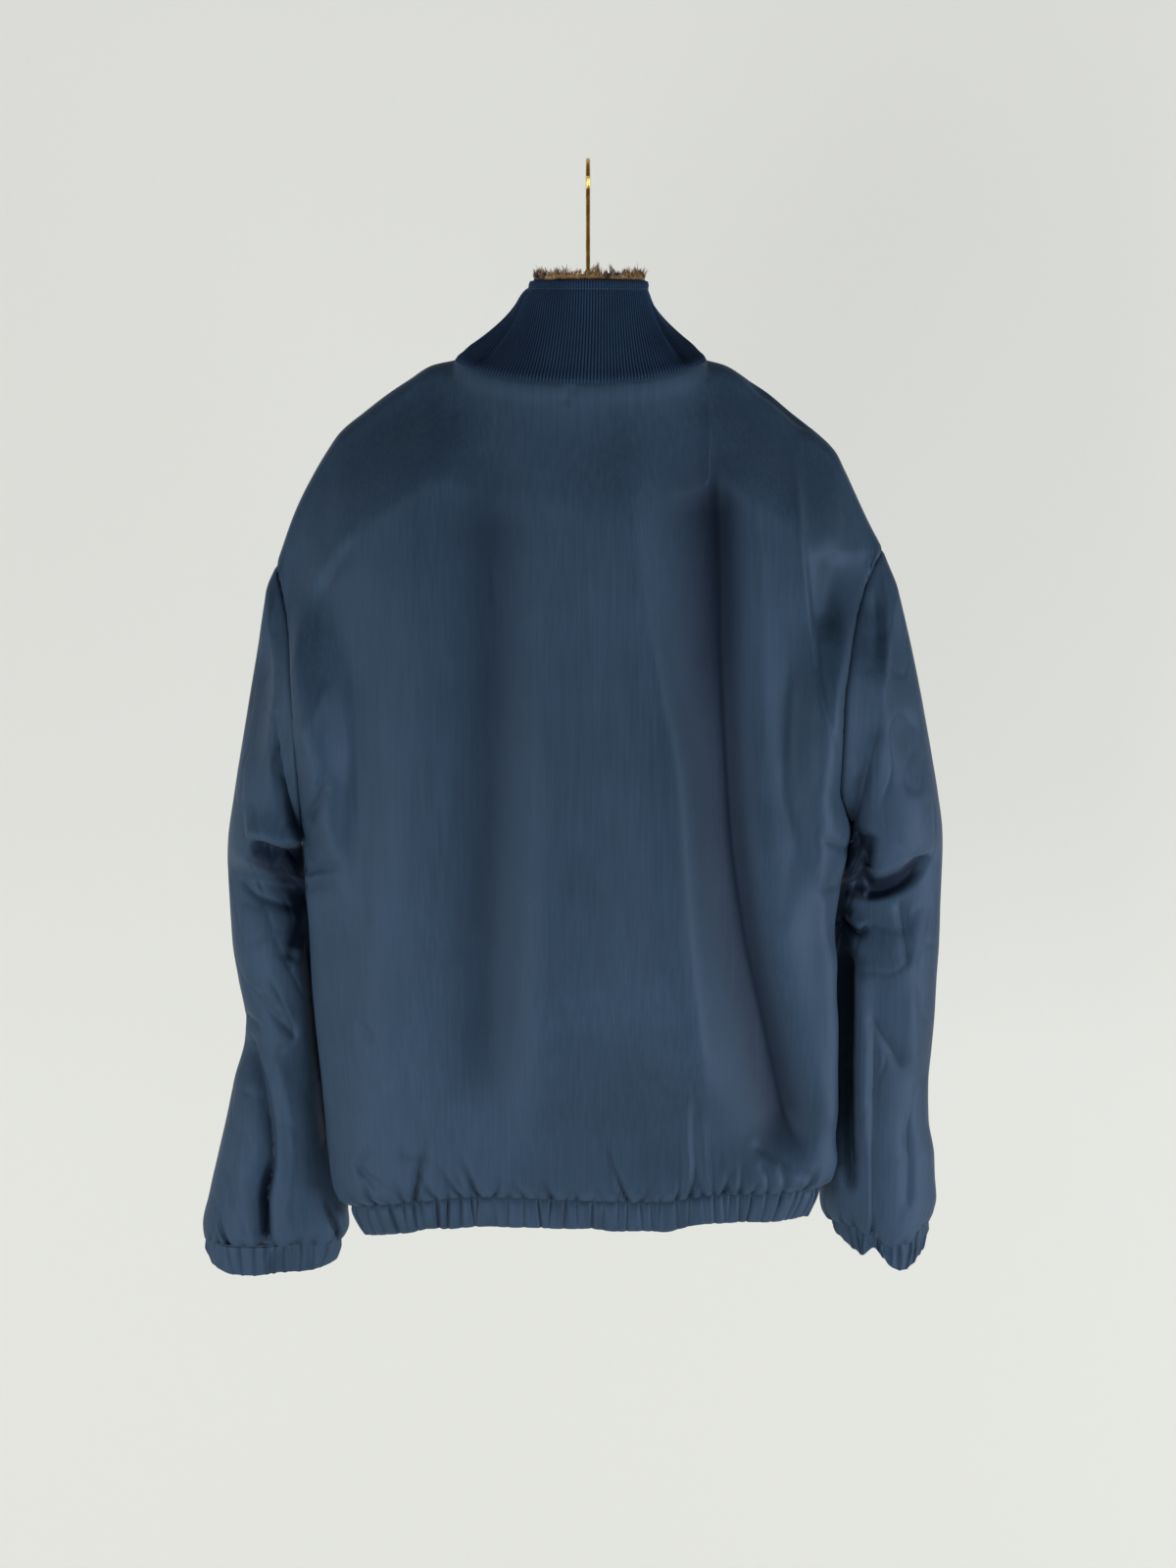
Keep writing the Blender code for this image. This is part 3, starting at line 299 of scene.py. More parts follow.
def half_panel(side, back, neck_columns, shoulder_columns, rows):
    """Points of half a back or of one front, from the middle to the side."""
    start = 0.0 if back else ZIP_HALF
    top_across = top_columns(side, neck_columns, shoulder_columns, start)[None, :]
    share = (top_across - start) / (tip_half(side) - start)
    top = top_height(side, top_across, back)
    foot = hem_height(side, mix(start, body_half(side, HEM_END_HEIGHT[side]), share), back)
    along = np.linspace(0, 1, rows)[:, None] ** ROW_CLOSENESS
    height = mix(top, foot, along)
    across = column_across(side, share, height, start)
    top_across = np.broadcast_to(top_across, height.shape)
    depth = body_depth(side, across, top_across, height, back)
    return np.stack([side * across, depth, height], axis=-1)


def back_grid():
    """The whole back, from the right armhole to the left."""
    right = half_panel(-1, True, NECK_COLUMNS, SHOULDER_COLUMNS, PANEL_ROWS)
    left = half_panel(1, True, NECK_COLUMNS, SHOULDER_COLUMNS, PANEL_ROWS)
    return np.concatenate([right[:, ::-1], left[:, 1:]], axis=1)


def grid_normals(grid, outward, closed=False):
    """The direction that the cloth faces at each point."""
    if closed:
        across = np.roll(grid, -1, axis=1) - np.roll(grid, 1, axis=1)
    else:
        across = np.gradient(grid, axis=1)
    normals = np.cross(across, np.gradient(grid, axis=0)) * outward
    length = np.linalg.norm(normals, axis=2, keepdims=True)
    return normals / np.maximum(length, 1e-12)


# %% [markdown]
# ## Sleeves
#
# A dropped sleeve is one tube. It starts at the armhole's loop, which is tall and narrow,
# and rounds off as it hangs down beside the body. Each ring is given by its outer and inner
# end and by how far its cloth hangs behind and before. Below the elbow the cloth buckles
# inwards, which makes the shelf that shows from behind.

# %% Sleeve measurements
Ring = namedtuple("Ring", "number outer outer_height inner inner_height middle back front")
LEFT_RINGS = table(
    Ring,
    (1, 0.2668, -0.350, 0.2440, -0.5630, 0.004, 0.040, -0.038),
    (2, 0.2740, -0.386, 0.2420, -0.5690, -0.002, 0.039, -0.043),
    (3, 0.2830, -0.430, 0.2405, -0.5760, -0.005, 0.038, -0.048),
    (4, 0.2920, -0.475, 0.2390, -0.5830, -0.009, 0.036, -0.054),
    (5, 0.3010, -0.522, 0.2375, -0.5900, -0.013, 0.033, -0.060),
    (6, 0.3085, -0.562, 0.2350, -0.5990, -0.018, 0.027, -0.065),
    (7, 0.3118, -0.595, 0.2310, -0.6120, -0.024, -0.001, -0.069),
    (8, 0.3115, -0.628, 0.2270, -0.6350, -0.028, 0.005, -0.072),
    (9, 0.3107, -0.660, 0.2240, -0.6620, -0.031, 0.009, -0.074),
    (10, 0.3066, -0.695, 0.2205, -0.6950, -0.032, 0.007, -0.074),
    (11, 0.3017, -0.731, 0.2190, -0.7310, -0.033, 0.002, -0.073),
    (12, 0.3040, -0.755, 0.2180, -0.7560, -0.033, 0.000, -0.072),
    (13, 0.3131, -0.787, 0.2175, -0.7880, -0.032, 0.003, -0.070),
    (14, 0.3214, -0.823, 0.2180, -0.8240, -0.031, 0.006, -0.068),
    (15, 0.3306, -0.860, 0.2180, -0.8600, -0.030, 0.008, -0.066),
    (16, 0.3390, -0.895, 0.2150, -0.8930, -0.028, 0.008, -0.062),
    (17, 0.3424, -0.920, 0.2140, -0.9180, -0.026, 0.005, -0.056),
    (18, 0.3390, -0.941, 0.2240, -0.9350, -0.024, -0.002, -0.048),
)
RIGHT_RINGS = table(
    Ring,
    (1, 0.2668, -0.347, 0.2300, -0.5620, 0.004, 0.041, -0.038),
    (2, 0.2765, -0.381, 0.2275, -0.5670, -0.002, 0.041, -0.043),
    (3, 0.2880, -0.428, 0.2255, -0.5740, -0.005, 0.040, -0.048),
    (4, 0.2990, -0.478, 0.2240, -0.5810, -0.009, 0.039, -0.054),
    (5, 0.3080, -0.522, 0.2220, -0.5890, -0.013, 0.037, -0.060),
    (6, 0.3140, -0.556, 0.2205, -0.5990, -0.018, 0.030, -0.065),
    (7, 0.3165, -0.588, 0.2185, -0.6150, -0.024, 0.004, -0.069),
    (8, 0.3169, -0.622, 0.2165, -0.6380, -0.028, 0.001, -0.072),
    (9, 0.3172, -0.658, 0.2165, -0.6640, -0.030, 0.007, -0.074),
    (10, 0.3160, -0.695, 0.2145, -0.6960, -0.031, 0.010, -0.074),
    (11, 0.3152, -0.731, 0.2130, -0.7310, -0.031, 0.010, -0.073),
    (12, 0.3135, -0.760, 0.2125, -0.7600, -0.031, 0.009, -0.072),
    (13, 0.3117, -0.790, 0.2130, -0.7900, -0.031, 0.008, -0.071),
    (14, 0.3130, -0.826, 0.2145, -0.8260, -0.030, 0.008, -0.069),
    (15, 0.3193, -0.862, 0.2160, -0.8600, -0.030, 0.008, -0.067),
    (16, 0.3205, -0.898, 0.2185, -0.8900, -0.030, 0.006, -0.064),
    (17, 0.3176, -0.922, 0.2225, -0.9110, -0.029, 0.002, -0.060),
    (18, 0.3105, -0.945, 0.2330, -0.9290, -0.028, -0.003, -0.054),
)
RINGS = {1: LEFT_RINGS, -1: RIGHT_RINGS}
RINGS_TO_ROUND = 5

# %% Sleeves as grids
AROUND_SLEEVE = 216
SLEEVE_ROWS = 256


def armhole_loop(side, angles):
    """Points round the armhole: down the back from the shoulder tip and up the front."""
    height = mix(TIP_HEIGHT[side], ARMPIT_HEIGHT, (1 - np.cos(angles)) / 2)
    across = body_half(side, height)
    tip = np.full_like(height, tip_half(side))
    behind = body_depth(side, across, tip, height, True)
    before = body_depth(side, across, tip, height, False)
    depth = np.where(np.sin(angles) >= 0, behind, before)
    return np.stack([side * across, depth, height], axis=-1)


def sleeve_ring(side, number, angles, loop):
    """One ring of a sleeve, at any number between two of the table's."""
    tip, armpit = loop[0], loop[len(angles) // 2]
    loop_up = (loop[:, 2] - armpit[2]) / (tip[2] - armpit[2])
    level = tip[1] + (armpit[1] - tip[1]) * (1 - loop_up)
    away = loop[:, 1] - level
    loop_away = np.where(away >= 0, away / away.max(), away / -away.min())
    read = {name: float(smooth_line(RINGS[side], "number", name, number)) for name in Ring._fields[1:]}
    roundness = float(ease(number / RINGS_TO_ROUND))
    up = mix(loop_up, (1 + np.cos(angles)) / 2, roundness)
    away = mix(loop_away, np.sin(angles), roundness)
    across = mix(read["inner"], read["outer"], up)
    height = mix(read["inner_height"], read["outer_height"], up)
    reach = np.where(away >= 0, read["back"] - read["middle"], read["middle"] - read["front"])
    return np.stack([side * across, read["middle"] + away * reach, height], axis=-1)


def sleeve_grid(side, around, rows):
    """Rings of points from the armhole down to the cuff's seam."""
    angles = np.arange(around) * 2 * np.pi / around
    loop = armhole_loop(side, angles)
    first = sleeve_ring(side, 1.0, angles, loop)
    leaving = (sleeve_ring(side, 1.3, angles, loop) - first) / 0.3
    made = []
    for number in np.linspace(0, len(RINGS[side]), rows):
        if number >= 1:
            made.append(sleeve_ring(side, number, angles, loop))
            continue
        t, rest = number, 1 - number
        made.append(
            loop * rest * rest * (1 + 2 * t)
            + first * t * t * (3 - 2 * t)
            + (first - loop) * t * rest * rest
            - leaving * t * t * rest
        )
    return np.array(made)


# %% [markdown]
# ### Where the cuffs pull
#
# Elastic doesn't close a sleeve in a straight line. The cuff on the wearer's right is folded
# on itself and hangs in two lobes with a notch between them. A table gives, across each
# sleeve, how far the cuff's seam is pulled up and how deep the cuff is there.

# %% The cuffs' shapes
CuffPoint = namedtuple("CuffPoint", "across rise deep")
CUFF_SHAPES = {
    1: table(
        CuffPoint,
        (0.2240, -9, 17),
        (0.2400, -7, 20),
        (0.2680, -3, 23),
        (0.3000, -3, 24),
        (0.3180, -4, 23),
        (0.3390, -6, 16),
    ),
    -1: table(
        CuffPoint,
        (0.2330, 3, 9),
        (0.2450, 6, 18),
        (0.2516, 3, 17),
        (0.2628, 2, 5),
        (0.2709, -4, 6),
        (0.2758, -4, 12),
        (0.2918, -1, 19),
        (0.3040, 9, 17),
        (0.3105, 15, 11),
    ),
}
CUFF_PULL = 0.055


def cuff_shape(side, across, wanted):
    """The cuff's rise or depth at a distance from the middle, in metres."""
    return smooth_line(CUFF_SHAPES[side], "across", wanted, np.abs(across)) * MM


def pull_end(side, grid):
    """Draw the sleeve's end up or down to its cuff's shape."""
    above_end = grid[..., 2] - grid[-1:, :, 2]
    grid[..., 2] += cuff_shape(side, grid[..., 0], "rise") * ease(1 - above_end / CUFF_PULL)
    return grid


NECK_SOFTENING = 110


def softened(grid):
    """Even out the depth below the neck's corners, where the solid's rule has a ridge."""
    top = grid[:1, :, 2]
    below = top - grid[..., 2]
    share = ease(below / 0.022) * ease((0.24 - below) / 0.12) * ease((0.205 - np.abs(grid[..., 0])) / 0.04)
    depth = grid[..., 1].copy()
    for _ in range(NECK_SOFTENING):
        depth[:, 1:-1] = (depth[:, :-2] + 2 * depth[:, 1:-1] + depth[:, 2:]) / 4
    grid[..., 1] = mix(grid[..., 1], depth, share)
    return grid


base_back = softened(back_grid())
base_front = {
    side: half_panel(side, False, NECK_COLUMNS, SHOULDER_COLUMNS, FRONT_ROWS) for side in (1, -1)
}
base_sleeve = {side: pull_end(side, sleeve_grid(side, AROUND_SLEEVE, SLEEVE_ROWS)) for side in (1, -1)}
print("back", base_back.shape, "front", base_front[1].shape, "sleeve", base_sleeve[1].shape)

# %% [markdown]
# ## Folds
#
# Cloth that hangs from two shoulders doesn't fall in even waves. It makes a few long troughs
# under the points that carry it, crisp creases where it was folded in a drawer, and short
# ones round every seam that pulls. Each fold is a line on the cloth with a width to its left
# and to its right, so one flank can be steep and the other gentle, as on the real thing.
#
# Real troughs are deeper than a shell that never crosses itself can be, and light fades in
# them. So each point also keeps how deep in a trough it lies, and the finish paints shade
# there by darkening its colour.

# %% A fold and how it lifts the cloth
Crease = namedtuple("Crease", "path left right rise crispness grows fades")


def crease_line(path):
    """A smooth line through a fold's points, given in millimetres: across, up, across, up..."""
    points = np.array(path, dtype=float).reshape(-1, 2) * MM
    padded = np.vstack([2 * points[0] - points[1], points, 2 * points[-1] - points[-2]])
    t = np.linspace(0, 1, 7)[:-1, None]
    pieces = []
    for a, b, c, d in zip(padded, padded[1:], padded[2:], padded[3:]):
        bend = 2 * a - 5 * b + 4 * c - d
        pieces.append(0.5 * (2 * b + (c - a) * t + bend * t**2 + (3 * b - a - 3 * c + d) * t**3))
    return np.vstack(pieces + [points[-1:]])


def crease_lift(crease, across, height):
    """How far one fold lifts or sinks the cloth at each place."""
    line = crease_line(crease.path)
    reach = 3.2 * max(crease.left, crease.right) * MM
    low, high = line.min(axis=0) - reach, line.max(axis=0) + reach
    near = (across > low[0]) & (across < high[0]) & (height > low[1]) & (height < high[1])
    place = np.stack([across[near], height[near]], axis=-1)
    steps = np.diff(line, axis=0)
    lengths = np.linalg.norm(steps, axis=1)
    before = np.concatenate([[0.0], np.cumsum(lengths)])
    nearest = np.full(len(place), np.inf)
    along, side = np.zeros(len(place)), np.zeros(len(place))
    for start, step, length, run in zip(line, steps, lengths, before):
        share = np.clip((place - start) @ step / length**2, 0, 1)
        away = place - start - share[:, None] * step
        distance = np.linalg.norm(away, axis=1)
        closer = distance < nearest
        nearest[closer] = distance[closer]
        along[closer] = ((run + share * length) / before[-1])[closer]
        side[closer] = (step[0] * away[:, 1] - step[1] * away[:, 0])[closer]
    width = np.where(side > 0, crease.left, crease.right) * MM
    fade = ease(along / crease.grows) * ease((1 - along) / crease.fades)
    lift = np.zeros(across.shape)
    lift[near] = crease.rise * MM * fade * np.exp(-((nearest / width) ** crease.crispness))
    return lift


UNSHADED_SINK = 2


def all_creases(creases, across, height, shaded_at):
    """Add up what every fold does, and how much shade each place gets painted, from 0 to 1."""
    lifts = [crease_lift(crease, across, height) for crease in creases]
    sunk = -sum(np.minimum(lift, 0) for lift in lifts)
    return sum(lifts), np.clip((sunk / MM - UNSHADED_SINK) / shaded_at, 0, 1)


# %% [markdown]
# ### The folds of the back
#
# The numbers are millimetres on the cloth: across from the middle, positive towards the
# wearer's left, and height. The two long troughs hang from the shoulders. The one on the
# wearer's right has a sharp edge and swings outwards near the hem.

# %% Folds of the back
BACK_CREASES = table(
    Crease,
    ((235, -540, 224, -522, 213, -505, 207, -495), 7, 5, -5, 1.7, 0.05, 0.3),
    ((217, -342, 211, -406, 208, -470, 204, -520), 14, 14, 4, 2, 0.3, 0.3),
    ((78, -199, 74, -261, 74, -335, 73, -420, 74, -563, 81, -726, 85, -833), 34, 30, -10, 2, 0.15, 0.2),
    (
        (115, -215, 119, -237, 135, -336, 147, -448, 159, -566, 179, -702, 199, -813),
        22, 28, 3.5, 2, 0.2, 0.2,
    ),
    (
        (-32, -199, -37, -261, -45, -335, -60, -410, -76, -485,
         -84, -564, -90, -644, -99, -726, -108, -806),
        42, 17, 9.0, 1.8, 0.15, 0.15,
    ),
    (
        (-104, -199, -112, -273, -115, -336, -117, -411, -122, -487,
         -129, -565, -143, -647, -163, -730, -183, -817, -194, -860),
        40, 17, -19, 1.8, 0.12, 0.1,
    ),
    ((-133, -223, -140, -336, -146, -411, -152, -488), 10, 14, 1.6, 1.7, 0.2, 0.3),
    ((-165, -225, -174, -286, -184, -362, -190, -449, -204, -541), 14, 12, 2.5, 1.8, 0.2, 0.25),
    ((-214, -629, -216, -739, -214, -844), 20, 8, 6, 1.9, 0.2, 0.2),
    ((125, -215, 128, -277, 130, -324, 139, -388, 148, -445, 158, -503), 6, 7, -1.2, 1.6, 0.25, 0.3),
    ((185, -298, 200, -324, 211, -345, 218, -374, 220, -400), 7, 4, -2.0, 1.4, 0.2, 0.25),
    ((196, -294, 212, -322, 223, -347, 229, -378, 230, -402), 6, 5, 1.5, 1.5, 0.3, 0.3),
    ((211, -414, 217, -431, 223, -447, 241, -475), 8, 6, 2.0, 1.6, 0.3, 0.3),
    ((74, -320, 73, -356), 3, 3, -0.5, 1.4, 0.3, 0.3),
    ((49, -429, 48, -468), 3, 3, -0.5, 1.4, 0.3, 0.3),
    ((7, -178, 11, -187, 14, -196), 3, 3, -1.6, 1.4, 0.1, 0.4),
    ((192, -710, 187, -720, 177, -734), 5, 5, -2.3, 1.4, 0.3, 0.4),
    ((-52, -380, -57, -411, -61, -444, -67, -501), 4, 3, -0.8, 1.4, 0.3, 0.4),
    (
        (-173, -215, -176, -254, -177, -294, -185, -352, -196, -432, -207, -474),
        5, 4, 2.4, 1.4, 0.3, 0.25,
    ),
    ((-181, -294, -190, -352, -196, -402, -202, -441, -216, -486), 4, 5, -2.4, 1.4, 0.3, 0.25),
    ((-208, -298, -206, -340, -204, -390), 13, 12, -5.6, 2, 0.3, 0.3),
    ((-130, -172, -147, -179, -168, -193, -196, -221), 8, 9, -4.0, 1.8, 0.3, 0.3),
    ((31, -542, 35, -670, 39, -842), 24, 22, 3.0, 2, 0.4, 0.1),
    ((-91, -769, -90, -806, -93, -864), 3.5, 3, 1.4, 1.3, 0.3, 0.1),
    ((-103, -788, -104, -820, -106, -860), 3, 4, 1.3, 1.3, 0.3, 0.1),
    ((-97, -769, -97, -815, -99, -862), 3.5, 3.5, -1.2, 1.4, 0.3, 0.1),
    ((-196, -503, -203, -591, -210, -683, -216, -772), 8, 9, 3.0, 1.8, 0.3, 0.3),
    ((197, -849, 186, -859, 174, -872), 3, 3, -2.1, 1.3, 0.1, 0.3),
    ((197, -849, 176, -863, 154, -876), 3, 3, -1.8, 1.3, 0.1, 0.3),
    ((199, -851, 191, -838, 180, -826), 3, 3, -1.8, 1.3, 0.1, 0.4),
    ((161, -832, 143, -834, 125, -837), 4, 3, -1.8, 1.4, 0.2, 0.3),
    ((110, -844, 106, -855, 100, -868), 3, 3, -2.1, 1.3, 0.3, 0.1),
    ((-146, -825, -173, -842, -204, -862), 4, 4, -2.8, 1.4, 0.2, 0.2),
    ((-152, -842, -159, -852, -165, -866), 3, 3, -1.7, 1.3, 0.3, 0.1),
    ((-172, -843, -174, -854, -176, -867), 3, 3, -1.7, 1.3, 0.3, 0.1),
    ((242, -590, 219, -579, 196, -572), 4, 4, -3.4, 1.4, 0.05, 0.4),
    ((242, -603, 224, -596, 204, -593), 4, 4, -2.9, 1.4, 0.05, 0.4),
    ((242, -596, 220, -587, 200, -582), 3, 3, 2.1, 1.4, 0.05, 0.4),
    ((-230, -571, -211, -556, -194, -551), 4, 4, -2.9, 1.4, 0.05, 0.4),
    ((-229, -599, -211, -598, -193, -602), 5, 5, -2.5, 1.5, 0.05, 0.4),
)

# %% [markdown]
# ### The folds of the sleeves
#
# Each sleeve buckles at the elbow: a swollen shelf above, a dark hollow below it, and then
# long creases down to the cuff. The lists give the half of the sleeve that faces back.

# %% Folds of the sleeves
LEFT_SLEEVE_CREASES = table(
    Crease,
    ((285, -559, 272, -563, 255, -568, 235, -570), 13, 3.5, -9, 1.8, 0.2, 0.02),
    ((261, -577, 251, -590, 244, -605), 13, 11, -3, 1.9, 0.25, 0.3),
    ((302, -589, 286, -610, 265, -619, 245, -624), 4, 2.5, -2, 1.5, 0.2, 0.2),
    ((241, -605, 242, -626, 246, -647, 256, -673), 9, 8, -5, 1.9, 0.15, 0.1),
    ((237, -630, 234, -687, 232, -743, 228, -796, 225, -840, 222, -877), 8, 8, -8, 2, 0.15, 0.25),
    ((274, -849, 283, -886, 282, -905, 282, -939), 7, 3, -7, 1.6, 0.3, 0.1),
    ((288, -552, 276, -551, 261, -555, 245, -559, 231, -556), 3.5, 15, 7, 1.7, 0.15, 0.02),
    ((260, -671, 251, -676), 3, 3, -2.1, 1.3, 0.2, 0.2),
    ((297, -692, 275, -716, 249, -745), 5, 6, -3.0, 1.5, 0.15, 0.2),
    ((289, -685, 267, -707, 249, -728), 6, 5, 1.0, 1.6, 0.2, 0.3),
    ((302, -728, 292, -731, 282, -739), 4, 4, -3.9, 1.4, 0.1, 0.4),
    (
        (296, -739, 290, -761, 282, -785, 276, -819, 275, -854, 282, -893, 283, -931),
        12, 2.5, -7.5, 1.5, 0.1, 0.05,
    ),
    (
        (279, -744, 271, -765, 262, -792, 257, -819, 256, -854, 263, -893, 266, -923),
        7, 9, 2.0, 1.8, 0.15, 0.15,
    ),
    ((310, -765, 305, -796, 302, -831, 306, -868, 308, -905), 8, 7, 1.2, 1.8, 0.2, 0.2),
    ((321, -857, 317, -881, 311, -905), 3, 3, -2.3, 1.4, 0.3, 0.3),
    ((269, -375, 276, -424, 281, -473, 284, -507), 10, 12, -3.8, 2, 0.3, 0.3),
    ((256, -424, 260, -457, 266, -507), 6, 6, 2.3, 1.7, 0.3, 0.3),
)
RIGHT_SLEEVE_CREASES = table(
    Crease,
    ((-242, -549, -242, -569, -241, -590, -237, -609), 8, 9, -5, 2, 0.12, 0.05),
    ((-244, -613, -260, -611, -279, -604, -292, -592, -300, -575), 3.5, 10, -8, 1.8, 0.1, 0.12),
    ((-224, -635, -234, -644, -242, -646, -250, -639), 3, 4, -6, 1.5, 0.1, 0.2),
    ((-252, -330, -256, -369, -254, -407, -251, -438), 4, 3, 2.0, 1.3, 0.25, 0.3),
    ((-245, -342, -248, -375, -246, -415), 6, 5, -2.9, 1.6, 0.3, 0.3),
    ((-225, -539, -231, -556, -239, -582, -250, -613), 8, 6, -6, 1.6, 0.15, 0.15),
    ((-273, -589, -287, -583, -301, -573), 3, 3, -2.6, 1.3, 0.3, 0.1),
    ((-229, -630, -237, -637, -249, -644), 6, 6, 3.9, 1.8, 0.3, 0.3),
    ((-232, -656, -234, -713, -235, -776, -237, -831, -241, -891), 8, 5, -8.5, 1.5, 0.1, 0.1),
    ((-244, -665, -246, -722, -247, -785, -250, -854), 6, 8, 5.2, 1.8, 0.15, 0.2),
    ((-276, -615, -281, -644, -286, -678), 5, 4, -3.9, 1.4, 0.15, 0.3),
    ((-250, -716, -267, -743, -285, -771), 5, 5, -3.9, 1.5, 0.2, 0.3),
    ((-252, -695, -256, -758, -257, -831, -261, -923), 3, 3, -2.6, 1.4, 0.3, 0.1),
    ((-287, -686, -292, -740, -296, -785), 9, 8, 2.4, 1.8, 0.3, 0.3),
    ((-286, -804, -291, -849, -291, -906), 6, 5, -2.6, 1.8, 0.3, 0.2),
    ((-271, -440, -278, -482, -282, -524), 14, 14, -2.6, 2, 0.3, 0.3),
    ((-247, -457, -246, -498, -245, -532), 7, 7, 3.0, 1.8, 0.3, 0.3),
)

# %% [markdown]
# ### Where little light reaches
#
# Under the elbow's shelf and between sleeve and body the cloth doubles back behind itself.
# A thin shell that never crosses itself can't be folded so deep. These rows are read like
# the folds above, but only for the shade that they paint into the colour: they move nothing.

# %% Painted shade in deep hollows
SLEEVE_PAINTED_SHADE = {
    1: table(
        Crease,
        ((294, -558, 272, -565, 255, -571, 235, -576), 20, 4, -20, 2.4, 0.5, 0.02),
        ((250, -566, 248, -592, 243, -612, 240, -634), 18, 15, -20, 2.2, 0.1, 0.2),
        ((240, -620, 243, -640, 250, -662), 9, 9, -14, 2, 0.1, 0.1),
        ((236, -640, 233, -687, 231, -743, 227, -796), 8, 9, -14, 2.2, 0.1, 0.3),
    ),
    -1: table(
        Crease,
        ((-237, -535, -237, -569, -236, -590, -233, -612), 18, 8, -22, 2.2, 0.6, 0.03),
        ((-228, -612, -252, -613, -268, -608, -284, -598, -300, -577), 5, 17, -17, 2.4, 0.03, 0.4),
        ((-231, -620, -230, -680, -230, -760, -232, -850), 7, 8, -9, 2.2, 0.05, 0.2),
    ),
}

# %% [markdown]
# ### The folds of the fronts and of the sleeves' front halves
#
# They don't show in the photograph, so they are made of the same kind: long troughs
# under each shoulder, a softer ridge beside each, and short creases at the elbow.

# %% Folds of the fronts
FRONT_CREASES = table(
    Crease,
    ((85, -220, 80, -400, 76, -600, 70, -860), 20, 16, -11.2, 1.9, 0.2, 0.1),
    ((104, -240, 108, -420, 106, -640, 98, -860), 8, 14, 6.3, 1.7, 0.2, 0.15),
    ((132, -260, 130, -420, 124, -640, 120, -850), 14, 16, 8.4, 2.0, 0.2, 0.2),
    ((165, -330, 163, -520, 158, -700, 160, -820), 15, 9, -8.4, 1.7, 0.2, 0.2),
    ((45, -520, 42, -680, 40, -870), 14, 12, 6.3, 1.9, 0.3, 0.1),
    ((190, -380, 186, -470, 180, -560), 7, 5, -4.2, 1.5, 0.3, 0.3),
    ((60, -260, 52, -330, 46, -420), 9, 7, -3.5, 1.6, 0.3, 0.4),
    ((150, -600, 162, -640, 184, -672), 6, 5, -2.8, 1.5, 0.3, 0.3),
    ((-80, -230, -84, -400, -88, -620, -92, -860), 16, 21, -12.6, 1.9, 0.2, 0.1),
    ((-104, -260, -110, -430, -112, -640, -116, -840), 12, 8, 6.3, 1.7, 0.2, 0.2),
    ((-128, -300, -134, -500, -138, -700, -138, -860), 15, 15, 7.7, 2.0, 0.2, 0.2),
    ((-170, -340, -160, -520, -152, -700, -150, -820), 9, 14, -7.0, 1.7, 0.2, 0.2),
    ((-45, -500, -48, -680, -50, -870), 15, 13, 6.3, 1.9, 0.3, 0.1),
    ((-188, -400, -184, -480, -176, -560), 5, 7, -4.2, 1.5, 0.3, 0.3),
    ((-58, -270, -50, -350, -47, -430), 7, 9, -3.5, 1.6, 0.3, 0.4),
    ((-148, -640, -165, -668, -186, -690), 5, 6, -2.8, 1.5, 0.3, 0.3),
)
HIDDEN_SLEEVE_CREASES = table(
    Crease,
    ((292, -560, 270, -572, 244, -576), 10, 6, -8.4, 1.6, 0.15, 0.1),
    ((290, -545, 270, -555, 244, -560), 4, 9, 5.6, 1.5, 0.15, 0.1),
    ((300, -600, 284, -612, 262, -618), 6, 5, -4.4, 1.6, 0.2, 0.3),
    ((262, -640, 258, -740, 262, -860, 268, -925), 9, 6, -8.4, 1.7, 0.15, 0.1),
    ((276, -650, 273, -740, 277, -850), 7, 10, 4.9, 1.8, 0.2, 0.2),
    ((302, -700, 282, -722, 258, -742), 6, 5, -3.9, 1.6, 0.2, 0.3),
    ((300, -780, 304, -840, 302, -910), 7, 7, -4.2, 1.8, 0.3, 0.2),
    ((268, -380, 276, -440, 284, -510), 10, 12, -4.2, 2.0, 0.3, 0.3),
)

# %% [markdown]
# ### Uneven cloth
#
# Even between its folds the cloth is never flat: there are slow swells, and on the sleeves
# a few crisper dents. A lattice of seeded random heights, smoothly joined and stretched
# along the fall of the cloth, gives them, and comes out the same on every run.

# %% Slow swells and dents
LATTICE = 64


def ripples(across, down, wide, tall, seed):
    """Gentle unevenness between -1 and 1, on cells of the given width and height."""
    chance = np.random.default_rng(seed).uniform(-1, 1, (LATTICE, LATTICE))
    column, row = np.floor(across / wide).astype(int), np.floor(down / tall).astype(int)
    right, below = ease(across / wide - column), ease(down / tall - row)
    corners = [chance[(column + i) % LATTICE, (row + j) % LATTICE] for i in (0, 1) for j in (0, 1)]
    return mix(mix(corners[0], corners[1], below), mix(corners[2], corners[3], below), right)


def unevenness(across, down, seed, crumpled=0.0):
    """Slow swells that run down the cloth, smaller ones on them, and crisper dents if asked."""
    swell = 1.1 * ripples(across + 0.06 * down, down, 0.046, 0.210, seed)
    small = 0.28 * ripples(across - 0.10 * down, down, 0.017, 0.075, seed + 1)
    dents = ripples(across + 0.30 * down, down - 0.2 * across, 0.021, 0.034, seed + 2)
    return (swell + small - crumpled * np.exp(-((dents / 0.16) ** 2))) * MM


# %% [markdown]
# ## Gathers
#
# The hem and the cuffs are longer than the elastic inside their bands. Sewn together, the
# spare cloth stands up in small uneven gathers that start at the seam, lean a little and die
# out at different heights. One seeded list serves the panel above the seam and the band
# below it, so a gather runs through both, as it does when both are caught by one seam.

# %% Gathers
Gather = namedtuple("Gather", "centre half_width rise reach lean")


